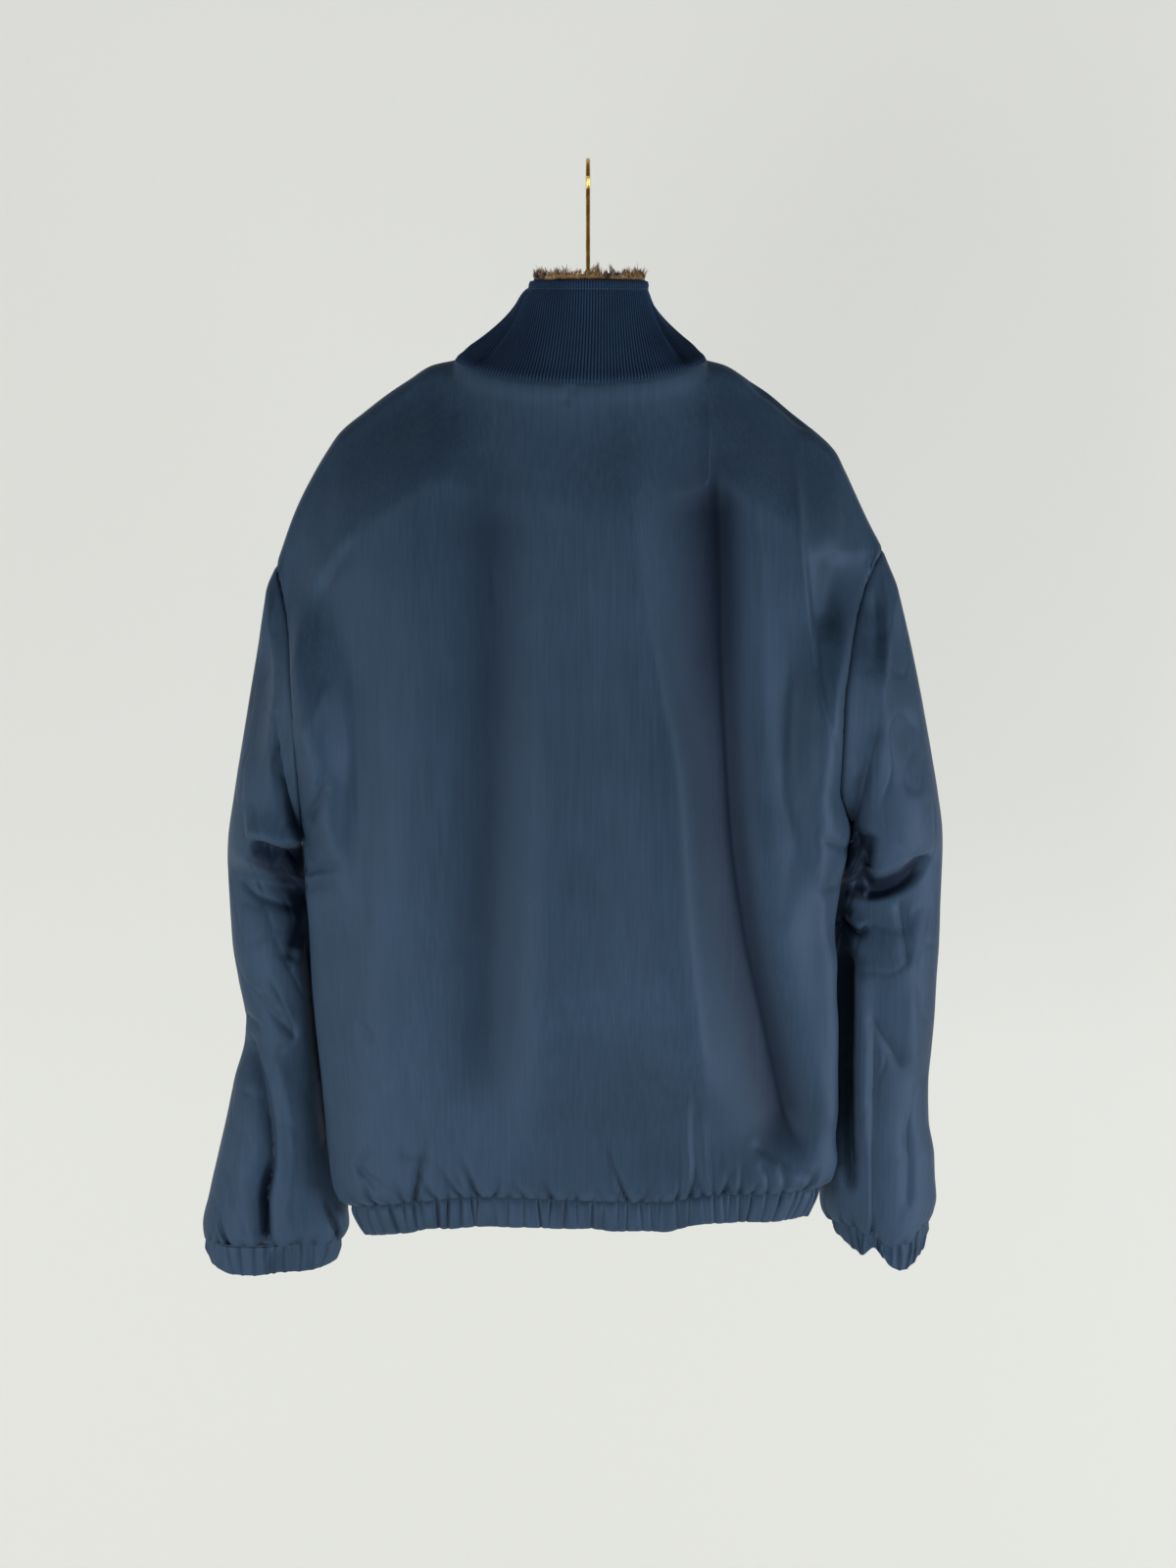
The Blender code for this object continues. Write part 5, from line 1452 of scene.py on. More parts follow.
pile_neck, _ = even_points(neck_line, PILE_COLUMNS, False)
pile_top = collar_top_edge(pile_neck)
past_zip = (pile_top[:, 1] < 0) & (np.abs(pile_top[:, 0]) < ZIP_HALF)
pile_top[past_zip, 0] = np.sign(pile_neck[past_zip, 0]) * ZIP_HALF
print("pile columns held back at the zip:", int(past_zip.sum()))
pile_rows = []
for share in np.linspace(0.02, 1, PILE_ROWS):
    row = mix(pile_neck, pile_top, 1 - (1 - share) ** COLLAR_FLARE)
    row[:, 2] = mix(pile_neck[:, 2], pile_top[:, 2], share)
    row = leaning_in(row, share)
    pile_rows.append(row - steady_outwards(row) * PILE_BEHIND)
pile_back = np.array(pile_rows)
pile_away = steady_outwards(pile_back[-1])
around_top = []
for out, up in ((0.9, 2.0), (0.7, 4.0), (-0.3, 5.6), (-2.0, 6.2), (-3.6, 5.2), (-4.4, 3.0)):
    row = pile_back[-1] + pile_away * out * MM
    row[:, 2] += up * MM
    around_top.append(row)
inner_rows = [row - steady_outwards(row) * mix(2.4, 4.8, min(1.0, 2 * k / PILE_ROWS)) * MM
              for k, row in enumerate(pile_rows)][::-1]
pile_grid = np.concatenate([pile_back, np.array(around_top), np.array(inner_rows)])
rows = np.arange(len(pile_grid))[:, None]
columns = np.arange(PILE_COLUMNS)[None, :]
lumps = ripples(columns * 1.25 * MM, rows * 3.0 * MM, 0.005, 0.006, 111)
lumps = lumps + 0.6 * ripples(columns * 1.25 * MM, rows * 3.0 * MM, 0.0022, 0.003, 112)
showing = ease((rows - PILE_ROWS + 4) / 4.0)
pile_facing = grid_normals(pile_grid, -1)
pile_grid = pile_grid + pile_facing * (0.8 * MM * lumps * showing)[..., None]
numbers = np.arange(pile_grid.shape[0] * PILE_COLUMNS).reshape(-1, PILE_COLUMNS)
pile_faces = quads(numbers, False, True)
pile_faces.append([int(v) for v in numbers[:, 0]])
pile_faces.append([int(v) for v in numbers[::-1, -1]])
pile_strip = add_piece("pile_strip", pile_grid.reshape(-1, 3), pile_faces)

# %% Tufts
TUFTS = 6200
CLUMP_WIDTH = 6.5 * MM


def tufts(name, places, directions, lengths, widths, curls, seed):
    """Tapered, curling locks of pile, each with three sides."""
    chance = np.random.default_rng(seed)
    total = len(places)
    directions = directions / np.linalg.norm(directions, axis=1, keepdims=True)
    aside = np.cross(directions, chance.normal(size=(total, 3)))
    aside /= np.linalg.norm(aside, axis=1, keepdims=True)
    other = np.cross(directions, aside)
    levels = ((0.0, 0.75), (0.35, 1.0), (0.7, 0.62))
    points = []
    for share, thick in levels:
        middle = places + directions * (lengths * share)[:, None]
        middle = middle + curls * (lengths * share**2)[:, None]
        for corner in range(3):
            angle = 2 * math.pi * corner / 3
            offset = math.cos(angle) * aside + math.sin(angle) * other
            points.append(middle + offset * (widths * thick)[:, None])
    points.append(places + directions * lengths[:, None] + curls * lengths[:, None])
    points = np.stack(points, axis=1).reshape(-1, 3)
    first = np.arange(total)[:, None] * 10
    pattern = [
        [level * 3 + c, level * 3 + (c + 1) % 3, level * 3 + 3 + (c + 1) % 3, level * 3 + 3 + c]
        for level in (0, 1)
        for c in range(3)
    ]
    tips = [[6 + c, 6 + (c + 1) % 3, 9] for c in range(3)]
    faces = [row for face in pattern for row in (first + np.array(face)).tolist()]
    faces += [row for face in tips for row in (first + np.array(face)).tolist()]
    return add_piece(name, points, faces)


# %% Where each tuft stands
chance = np.random.default_rng(121)
band_low, band_high = PILE_ROWS - 2, PILE_ROWS + 16
row_at = chance.uniform(band_low, band_high, TUFTS)
column_at = chance.uniform(1, PILE_COLUMNS - 2, TUFTS)
row_index, column_index = row_at.astype(int), column_at.astype(int)
row_part, column_part = (row_at % 1)[:, None], (column_at % 1)[:, None]
upper = mix(pile_grid[row_index, column_index], pile_grid[row_index, column_index + 1], column_part)
lower = mix(
    pile_grid[row_index + 1, column_index], pile_grid[row_index + 1, column_index + 1], column_part
)
places = mix(upper, lower, row_part)
out = grid_normals(pile_grid, -1)[row_index, column_index]
upward = np.array([0.0, 0.0, 1.0])
over_edge = np.exp(-(((row_at - PILE_ROWS - 2.5) / 4.0) ** 2))[:, None]
lean = chance.normal(scale=0.24, size=(TUFTS, 3))
along_edge = pile_grid[row_index, column_index + 1] - pile_grid[row_index, column_index]
along_edge /= np.linalg.norm(along_edge, axis=1, keepdims=True)
run_at = column_at * 1.25 * MM
clump = np.floor(run_at / CLUMP_WIDTH).astype(int)
to_middle = (clump + 0.5) * CLUMP_WIDTH - run_at + 2 * MM * np.sin(clump * 2.4)
tallness = 0.85 + 0.45 * np.sin(clump * 1.9) * np.sin(clump * 0.7 + 1)
directions = 0.55 * out + (0.45 + 1.2 * over_edge) * upward + lean
directions += along_edge * (to_middle / (5 * MM))[:, None]
swirl = np.stack(
    [ripples(column_at * 1.25 * MM, row_at * 3 * MM, 0.011, 0.012, 130 + k) for k in range(3)], axis=-1
)
curls = 0.55 * swirl + chance.normal(scale=0.16, size=(TUFTS, 3))
lengths = chance.uniform(3.6, 7.0, TUFTS) * MM * tallness
widths = chance.uniform(0.26, 0.52, TUFTS) * MM
pile_locks = tufts("pile_tufts", places - out * 0.8 * MM, directions, lengths, widths, curls, 122)
print(TUFTS, "tufts")

# %% [markdown]
# ## The zip
#
# A moulded zip has a woven tape on each side and teeth that grip each other in turn. The
# closed chain runs from the waistband's foot to the collar's top. One tooth is modelled and
# repeated along the line, left and right by half a step apart.

# %% The zip's line
ZIP_TAPE = 0.9 * MM
TOOTH_PITCH = 2.6 * MM

front_edge = base_front[1][:, 0]
band_foot = front_edge[-1] + np.array([0, 0, -0.030])
collar_front = collar_base[:, -1]
zip_line = np.concatenate([[band_foot], front_edge[::-1], collar_front[1:]])
zip_line[:, 0] = 0.0
zip_points, zip_run = even_points(zip_line, 420, False)
zip_ahead = np.gradient(zip_points, axis=0)
zip_ahead /= np.linalg.norm(zip_ahead, axis=1, keepdims=True)
zip_out = np.cross(zip_ahead, np.array([1.0, 0.0, 0.0])) * -1
zip_out *= np.sign(-zip_out[:, 1:2])
print("zip %.3f m" % zip_run[-1])


def zip_tape(side):
    """A flat woven strip from the chain to just inside the front's edge."""
    stations = [0.4 * MM, 2.2 * MM, 2.6 * MM, 5.0 * MM, ZIP_HALF - 0.4 * MM]
    raised = [0.0, 0.3 * MM, 0.0, 0.0, 0.0]
    rows = []
    for away, up in zip(stations, raised):
        row = zip_points + zip_out * (up - 0.2 * MM)
        row[:, 0] = side * away
        rows.append(row)
    for away in stations[::-1]:
        row = zip_points - zip_out * (ZIP_TAPE + 0.2 * MM)
        row[:, 0] = side * away
        rows.append(row)
    grid = np.array(rows)
    numbers = np.arange(grid.shape[0] * grid.shape[1]).reshape(grid.shape[:2])
    faces = quads(numbers.T, True, side > 0)
    faces.append([int(v) for v in numbers[:, 0]][:: -side])
    faces.append([int(v) for v in numbers[:, -1]][::side])
    return add_piece(f"zip_tape_{SIDE_NAME[side]}", grid.reshape(-1, 3), faces)


# %% Teeth


def tooth_shape():
    """One tooth: a rounded block with a head that grips the next tooth."""
    work = bmesh.new()
    bmesh.ops.create_cube(work, size=1.0)
    bmesh.ops.scale(work, vec=(3.1 * MM, 1.25 * MM, 1.7 * MM), verts=work.verts)
    for vert in work.verts:
        if vert.co.x < 0:
            vert.co.y *= 0.72
    bmesh.ops.bevel(work, geom=work.edges[:], offset=0.28 * MM, segments=2, affect="EDGES")
    work.verts.ensure_lookup_table()
    points = np.array([vert.co[:] for vert in work.verts])
    faces = [[vert.index for vert in face.verts] for face in work.faces]
    work.free()
    return points, faces


def zip_teeth(side):
    """Teeth along one side: across is x, along the chain is y and outwards is z."""
    shape, shape_faces = tooth_shape()
    start = 2 * MM + (0.5 * TOOTH_PITCH if side < 0 else 0)
    at = np.arange(start, zip_run[-1] - 2 * MM, TOOTH_PITCH)
    middle = on_line(zip_points, zip_run, at)
    ahead = on_line(zip_ahead, zip_run, at)
    out = on_line(zip_out, zip_run, at)
    points, faces = [], []
    for centre, along, away in zip(middle, ahead, out):
        first = len(points)
        placed = centre + along * shape[:, 1:2] + away * (shape[:, 2:3] + 0.1 * MM)
        placed[:, 0] += side * (shape[:, 0] + 0.75 * MM)
        points.extend(placed)
        faces.extend([[first + v for v in face][::side] for face in shape_faces])
    return add_piece(f"zip_teeth_{SIDE_NAME[side]}", points, faces)


zip_tapes = {side: zip_tape(side) for side in (1, -1)}
zip_rows = {side: zip_teeth(side) for side in (1, -1)}

# %% [markdown]
# ### Slider and pull tab
#
# The slider is a cast shell over the teeth with two lugs that hold a pin. The pull tab
# hangs from that pin by its eye and is the one piece that moves: it swings outwards. Both
# are built from rounded blocks, as a small casting has no sharp edge.

# %% Slider and pull tab
SLIDER_HEIGHT = COLLAR_FRONT_HEIGHT - 0.014
SEAT_DEPTH = -0.058
PIN_DEPTH = SEAT_DEPTH - 0.0003 - 0.0028 - 0.0023


def rounded_block(size, centre, bevel, taper=1.0):
    """A block with rounded edges, its foot narrower by the taper, as points and faces."""
    work = bmesh.new()
    bmesh.ops.create_cube(work, size=1.0)
    bmesh.ops.scale(work, vec=size, verts=work.verts)
    for vert in work.verts:
        if vert.co.z < 0:
            vert.co.x *= taper
    bmesh.ops.bevel(work, geom=work.edges[:], offset=bevel, segments=3, affect="EDGES")
    points = [np.array(vert.co[:]) + np.array(centre) for vert in work.verts]
    faces = [[vert.index for vert in face.verts] for face in work.faces]
    work.free()
    return points, faces


def ring_of(radius, wire, centre, length, sides=28):
    """A short tube along X with a bore: the eye of the pull tab."""
    section = [(-length / 2, radius), (length / 2, radius), (length / 2, wire), (-length / 2, wire)]
    soft = []
    for k in range(4):
        a, b = np.array(section[k]), np.array(section[(k + 1) % 4])
        soft += [mix(a, b, 0.15), mix(a, b, 0.85)]
    points, faces = [], []
    for step in range(sides):
        angle = 2 * math.pi * step / sides
        for across, far in soft:
            points.append(
                np.array([across, far * math.cos(angle), far * math.sin(angle)]) + np.array(centre)
            )
    for step in range(sides):
        for k in range(8):
            a, b = step * 8 + k, step * 8 + (k + 1) % 8
            c, d = ((step + 1) % sides) * 8 + (k + 1) % 8, ((step + 1) % sides) * 8 + k
            faces.append([a, b, c, d])
    return points, faces


def joined(name, shapes):
    """One piece from several shapes."""
    points, faces = [], []
    for shape_points, shape_faces in shapes:
        first = len(points)
        points.extend(shape_points)
        faces.extend([[first + v for v in face] for face in shape_faces])
    piece = add_piece(name, points, faces)
    piece.data.set_sharp_from_angle(angle=math.radians(50))
    return piece


# %% The slider
pin = (0.0, PIN_DEPTH, SLIDER_HEIGHT)
body_depth_middle = SEAT_DEPTH - 0.0003 - 0.0014
slider_shapes = [
    rounded_block((0.0092, 0.0030, 0.0118), (0, body_depth_middle, SLIDER_HEIGHT), 0.0009, 0.78)
]
for side in (1, -1):
    lug_centre = (side * 0.0031, body_depth_middle - 0.0026, SLIDER_HEIGHT)
    slider_shapes.append(rounded_block((0.0013, 0.0042, 0.0044), lug_centre, 0.0005))
slider_shapes.append(ring_of(0.0007, 0.00005, pin, 0.0068, 16))
slider = joined("slider", slider_shapes)

# %% The pull tab
tab_top = SLIDER_HEIGHT - 0.0012
tab_shapes = [ring_of(0.0019, 0.0011, pin, 0.0044)]
tab_shapes.append(rounded_block((0.0030, 0.0013, 0.010), (0, pin[1], tab_top - 0.0050), 0.0005))
tab_shapes.append(rounded_block((0.0056, 0.0014, 0.0215), (0, pin[1], tab_top - 0.0192), 0.0006, 0.9))
for side in (1, -1):
    edge = (side * 0.0021, pin[1] - 0.0005, tab_top - 0.0192)
    tab_shapes.append(rounded_block((0.0006, 0.0009, 0.018), edge, 0.0002))
pull_tab = joined("pull_tab", tab_shapes)

# %% [markdown]
# ## Hanger and hook
#
# The hanger only shows through the collar: a bar of varnished wood, deep at the middle and
# slim at its ends, lofted from one section. The hook is one bent brass wire, so it is a
# round section carried along a smooth line, with a rounded tip.

# %% The hanger
HANGER_END = 0.196
HANGER_CENTRE_TOP = -0.118
HANGER_NECK_TOP = -0.1705
HANGER_CONTACT = 0.140
HANGER_STATIONS = 49
HANGER_PROFILE = [
    (0.00, 0.00),
    (0.45, 0.10),
    (0.85, 0.28),
    (1.00, 0.55),
    (0.85, 0.85),
    (0.45, 1.00),
    (0.00, 1.00),
]


def hanger_top(across):
    """Height of the hanger's upper edge: under the neck, then just under the shoulders."""
    reach = max(across, HANGER_CONTACT)
    left = float(top_height(1, np.array(reach - HANGING_OFFSET), True))
    right = float(top_height(-1, np.array(reach + HANGING_OFFSET), True))
    under_cloth = min(left, right) - 0.003 - 0.0016
    if across >= HANGER_CONTACT:
        return under_cloth
    if across >= NECK_HALF[1]:
        share = (across - NECK_HALF[1]) / (HANGER_CONTACT - NECK_HALF[1])
        return mix(HANGER_NECK_TOP, under_cloth, share)
    return mix(HANGER_CENTRE_TOP, HANGER_NECK_TOP, (across / NECK_HALF[1]) ** 1.3)


def hanger_section(across):
    """The bar's outline at one place along it."""
    share = abs(across) / HANGER_END
    depth = mix(0.042, 0.020, share)
    thickness = 0.006
    rounding = math.sqrt(max(0.0, 1 - max(0.0, (share - 0.955) / 0.045) ** 2))
    top = hanger_top(abs(across)) - depth * 0.5 * (1 - rounding)
    outline = [(wide, down) for wide, down in HANGER_PROFILE]
    outline += [(-wide, down) for wide, down in HANGER_PROFILE[-2:0:-1]]
    line = np.array(outline + outline[:1])
    run = np.concatenate([[0], np.cumsum(np.linalg.norm(np.diff(line, axis=0), axis=1))])
    wanted = np.linspace(0, run[-1], 33)[:-1]
    smooth = np.stack([np.interp(wanted, run, line[:, k]) for k in (0, 1)], axis=-1)
    for _ in range(2):
        smooth = (np.roll(smooth, 1, axis=0) + 2 * smooth + np.roll(smooth, -1, axis=0)) / 4
    scale = max(rounding, 0.15)
    return [
        (across - HANGING_OFFSET, wide * thickness * scale, top - down * depth * scale)
        for wide, down in smooth
    ]


# %% The bar from end to end
stations = HANGER_END * np.sin(np.linspace(-math.pi / 2, math.pi / 2, HANGER_STATIONS))
stations = mix(stations, np.linspace(-HANGER_END, HANGER_END, HANGER_STATIONS), 0.5)
hanger_grid = np.array([hanger_section(float(across)) for across in stations])
for _ in range(2):
    hanger_grid[1:-1] = (hanger_grid[:-2] + 2 * hanger_grid[1:-1] + hanger_grid[2:]) / 4
numbers = np.arange(HANGER_STATIONS * 32).reshape(HANGER_STATIONS, 32)
hanger_faces = quads(numbers, True, False)
hanger_faces.append([int(v) for v in numbers[0]][::-1])
hanger_faces.append([int(v) for v in numbers[-1]])
wooden_bar = add_piece("wooden_bar", hanger_grid.reshape(-1, 3), hanger_faces)

# %% The hook
HOOK_WIRE = 0.0018
HOOK_BEND = 0.020
HOOK_SIDES = 20


def hook_line():
    """The wire's centre line: up the stem, aside, and round the bend to the tip."""
    radius = HOOK_BEND + HOOK_WIRE
    angles = np.linspace(math.radians(-125), math.radians(72), 60)
    bend = np.stack(
        [np.zeros(60), radius * np.sin(angles), radius * np.cos(angles) - HOOK_BEND], axis=-1
    )
    share = np.linspace(0, 1, 14)[:-1]
    neck = np.stack(
        [share * 0, bend[0, 1] * ease(share), mix(-0.066, bend[0, 2], share)], axis=-1
    )
    stem = np.array([[0, 0, HANGER_CENTRE_TOP + 0.0003], [0, 0, -0.1], [0, 0, -0.08]])
    line = np.concatenate([stem, neck, bend])
    for _ in range(2):
        line[1:-1] = (line[:-2] + 2 * line[1:-1] + line[2:]) / 4
    return line


# %% A bent wire


def wire(line, radius, sides):
    """A round wire along a line in the Y-Z plane, with a rounded tip."""
    ahead = np.gradient(line, axis=0)
    ahead /= np.linalg.norm(ahead, axis=1, keepdims=True)
    aside = np.array([1.0, 0.0, 0.0])
    rings = []
    for centre, way in zip(line, ahead):
        rings.append((centre, way, radius))
    tip, way = line[-1], ahead[-1]
    for angle in (0.35, 0.7, 1.05, 1.35):
        rings.append((tip + way * radius * math.sin(angle), way, radius * math.cos(angle)))
    points = []
    for centre, way, size in rings:
        up = np.cross(way, aside)
        for side in range(sides):
            angle = 2 * math.pi * side / sides
            points.append(centre + size * (math.cos(angle) * aside + math.sin(angle) * up))
    numbers = np.arange(len(points)).reshape(-1, sides)
    faces = quads(numbers, True, True)
    faces.append([int(v) for v in numbers[0]])
    faces.append([int(v) for v in numbers[-1]][::-1])
    points = np.array(points)
    points[:, 0] -= HANGING_OFFSET
    return points, faces


brass_hook = add_piece("brass_hook", *wire(hook_line(), HOOK_WIRE, HOOK_SIDES))
print("hook wire of %.1f mm" % (2 * HOOK_WIRE / MM))

# %% [markdown]
# ## Finishes
#
# A finish is a small network of nodes. Effects that several finishes share are node groups:
# each gives a mask, a value or a height, and the finish decides what that does. All of them
# read the object's own coordinates in metres, so a weave has its true size everywhere and
# doesn't depend on an unwrapping.

# %% Helpers for nodes


def new_group(name, inputs, outputs):
    """An empty shader group with float inputs (name and value) and named outputs."""
    group = bpy.data.node_groups.new(name, "ShaderNodeTree")
    for label, value in inputs:
        socket = group.interface.new_socket(label, in_out="INPUT", socket_type="NodeSocketFloat")
        socket.default_value = value
    for label in outputs:
        group.interface.new_socket(label, in_out="OUTPUT", socket_type="NodeSocketFloat")
    return group, group.nodes.new("NodeGroupInput"), group.nodes.new("NodeGroupOutput")


def plug(socket, value):
    """Give an input a number or a colour, or join another node's socket to it."""
    if isinstance(value, bpy.types.NodeSocket):
        socket.id_data.links.new(value, socket)
    elif value is not None:
        socket.default_value = value


def feed(node, **values):
    """Fill a node's inputs by name; an underscore stands for a space."""
    for label, value in values.items():
        plug(node.inputs[label.replace("_", " ")], value)


def math_node(tree, operation, first, second=None, third=None):
    """A math node; each input is a number or another node's socket."""
    node = tree.nodes.new("ShaderNodeMath")
    node.operation = operation
    for socket, value in zip(node.inputs, (first, second, third)):
        plug(socket, value)
    return node.outputs[0]


def object_place(tree):
    """The object's coordinates, whole and taken apart."""
    place = tree.nodes.new("ShaderNodeTexCoord").outputs["Object"]
    parts = tree.nodes.new("ShaderNodeSeparateXYZ")
    tree.links.new(place, parts.inputs[0])
    return place, parts.outputs


def noise(tree, place, scale, detail=3.0, roughness=0.5, distortion=0.0):
    """A noise texture's value between 0 and 1; the scale is a number or a socket."""
    node = tree.nodes.new("ShaderNodeTexNoise")
    feed(node, Detail=detail, Roughness=roughness, Distortion=distortion, Vector=place, Scale=scale)
    return node.outputs["Fac"]


def stretched(tree, place, scale):
    """Coordinates scaled along each axis."""
    node = tree.nodes.new("ShaderNodeVectorMath")
    node.operation = "MULTIPLY"
    plug(node.inputs[0], place)
    plug(node.inputs[1], scale)
    return node.outputs[0]


# %% Colours, ranges and bumps


def ramp(tree, value, stops):
    """Colours or greys along a value: (position, colour) pairs."""
    node = tree.nodes.new("ShaderNodeValToRGB")
    while len(node.color_ramp.elements) < len(stops):
        node.color_ramp.elements.new(0.5)
    for element, (position, colour) in zip(node.color_ramp.elements, stops):
        element.position = position
        element.color = (*colour, 1.0)
    tree.links.new(value, node.inputs[0])
    return node.outputs["Color"]


def remap(tree, value, low, high, to_low, to_high):
    """Move a value from one range to another, clamped."""
    node = tree.nodes.new("ShaderNodeMapRange")
    feed(node, Value=value, From_Min=low, From_Max=high, To_Min=to_low, To_Max=to_high)
    return node.outputs["Result"]


def bump(tree, height, strength, distance, below=None):
    """A bump node's normal, on top of another one if given."""
    node = tree.nodes.new("ShaderNodeBump")
    feed(node, Strength=strength, Distance=distance, Height=height, Normal=below)
    return node.outputs[0]


def grouped(tree, group, **values):
    """Place a group in a finish with its own values."""
    node = tree.nodes.new("ShaderNodeGroup")
    node.node_tree = group
    feed(node, **values)
    return node.outputs


def srgb(red, green, blue):
    """A colour given as 0 to 255 on a screen, as the linear values that a shader takes."""
    shares = [channel / 255 for channel in (red, green, blue)]
    return tuple(s / 12.92 if s <= 0.04045 else ((s + 0.055) / 1.055) ** 2.4 for s in shares)


def finish(name):
    """A new material: its tree and its Principled shader."""
    made = bpy.data.materials.new(name)
    made.use_nodes = True
    return made, made.node_tree, made.node_tree.nodes["Principled BSDF"]


# %% Weave
# Two sets of threads that pass over and under each other.
tree, ins, outs = new_group("plain_weave", [("Threads", 2200.0)], ["Height"])
_, parts = object_place(tree)
around = math_node(tree, "ADD", parts[0], parts[1])
warp = math_node(tree, "SINE", math_node(tree, "MULTIPLY", around, ins.outputs["Threads"]))
rising = math_node(tree, "MULTIPLY", parts[2], ins.outputs["Threads"])
weft = math_node(tree, "SINE", rising)
crossing = math_node(tree, "MULTIPLY", warp, weft)
feed(outs, Height=math_node(tree, "MULTIPLY_ADD", crossing, 0.5, 0.5))
weave_group = tree

# %% Crinkle
# Faint dents that run mostly down the cloth.
scales = [("Scale", 60.0), ("Fine Scale", 260.0)]
tree, ins, outs = new_group("crinkle", scales, ["Height", "Mask"])
place, _ = object_place(tree)
tall = stretched(tree, place, (1.0, 1.0, 0.45))
large = noise(tree, tall, ins.outputs["Scale"], 2.0, 0.5, 0.6)
creased = math_node(tree, "ABSOLUTE", math_node(tree, "SUBTRACT", large, 0.5))
fine = noise(tree, tall, ins.outputs["Fine Scale"], 3.0, 0.55)
faint = math_node(tree, "MULTIPLY", fine, 0.22)
height = math_node(tree, "MULTIPLY_ADD", creased, 1.6, faint)
feed(outs, Height=height, Mask=large)
crinkle_group = tree

# %% Cloudiness
# A slow change over a hand's width, for dye, wear and grime.
tree, ins, outs = new_group("cloudiness", [("Scale", 9.0)], ["Mask"])
place, _ = object_place(tree)
cloud = noise(tree, place, ins.outputs["Scale"], 3.0, 0.6)
feed(outs, Mask=remap(tree, cloud, 0.3, 0.7, 0.0, 1.0))
cloud_group = tree

# %% Streaks
# Threads that differ a little, running down the cloth.
tree, ins, outs = new_group("thread_streaks", [("Scale", 400.0)], ["Mask"])
place, _ = object_place(tree)
drawn_out = stretched(tree, place, (1.0, 1.0, 0.03))
lines = noise(tree, drawn_out, ins.outputs["Scale"], 2.0, 0.6)
feed(outs, Mask=remap(tree, lines, 0.3, 0.7, 0.0, 1.0))
streak_group = tree

# %% Fluff
# Short tangled fibres.
tree, ins, outs = new_group("fluff", [("Scale", 900.0)], ["Height"])
place, _ = object_place(tree)
tangle = noise(tree, place, ins.outputs["Scale"], 4.0, 0.65, 1.2)
feed(outs, Height=tangle)
fluff_group = tree

# %% Spots
# Soft dark rosettes with a lighter middle, scattered by cells.
tree, ins, outs = new_group("rosettes", [("Scale", 62.0)], ["Dark", "Middle"])
place, _ = object_place(tree)
wobble = tree.nodes.new("ShaderNodeTexNoise")
feed(wobble, Scale=120.0, Detail=2.0, Vector=place)
shift = tree.nodes.new("ShaderNodeVectorMath")
shift.operation = "MULTIPLY_ADD"
for socket, value in zip(shift.inputs, (wobble.outputs["Color"], (0.010, 0.010, 0.010), place)):
    plug(socket, value)
cells = tree.nodes.new("ShaderNodeTexVoronoi")
feed(cells, Randomness=0.9, Scale=ins.outputs["Scale"], Vector=shift.outputs[0])
distance = cells.outputs["Distance"]
ring = math_node(tree, "ABSOLUTE", math_node(tree, "SUBTRACT", distance, 0.34))
feed(outs, Dark=remap(tree, ring, 0.07, 0.17, 1.0, 0.0))
feed(outs, Middle=remap(tree, distance, 0.1, 0.3, 1.0, 0.0))
spot_group = tree

print("groups:", [group.name for group in bpy.data.node_groups])

# %% [markdown]
# ### The shell's cloth
#
# The shell is a dense, smooth synthetic weave in navy. It isn't shiny, but it has a broad,
# bluish satin sheen. Shade is painted into its colour in its troughs: the number that each
# point keeps darkens it there almost to black. The weave itself is too fine to see from here
# and only softens the light.

# %% Shell cloth
shell_cloth, tree, shader = finish("navy_shell")
clouds = grouped(tree, cloud_group, Scale=6.0)["Mask"]
streaks = grouped(tree, streak_group, Scale=420.0)["Mask"]
tone = math_node(tree, "MULTIPLY_ADD", clouds, 0.6, math_node(tree, "MULTIPLY", streaks, 0.4))
colour = ramp(tree, tone, [(0.1, srgb(29, 43, 58)), (0.55, srgb(35, 51, 68)), (1.0, srgb(43, 59, 78))])
# Painted shade: each point's number mixes the colour towards near black in folds, deep hollows, gathers and
# seam grooves.
trough = tree.nodes.new("ShaderNodeAttribute")
trough.attribute_name = "in_trough"
painted_shade_mix = tree.nodes.new("ShaderNodeMix")
painted_shade_mix.data_type = "RGBA"
feed(painted_shade_mix, Factor=trough.outputs["Fac"], A=colour, B=(*srgb(2, 7, 21), 1.0))
feed(shader, Base_Color=painted_shade_mix.outputs["Result"], Roughness=remap(tree, tone, 0.0, 1.0, 0.54, 0.63))
weave = grouped(tree, weave_group, Threads=9000.0)["Height"]
crinkle = grouped(tree, crinkle_group, Scale=30.0, Fine_Scale=230.0)
shape = bump(tree, crinkle["Height"], 0.14, 0.0012)
feed(shader, Normal=bump(tree, weave, 0.12, 0.00012, shape), Specular_IOR_Level=0.30)
feed(shader, Specular_Tint=(0.42, 0.64, 1.0, 1.0), Sheen_Weight=0.06, Sheen_Roughness=0.45)
feed(shader, Sheen_Tint=(0.38, 0.55, 0.85, 1.0))
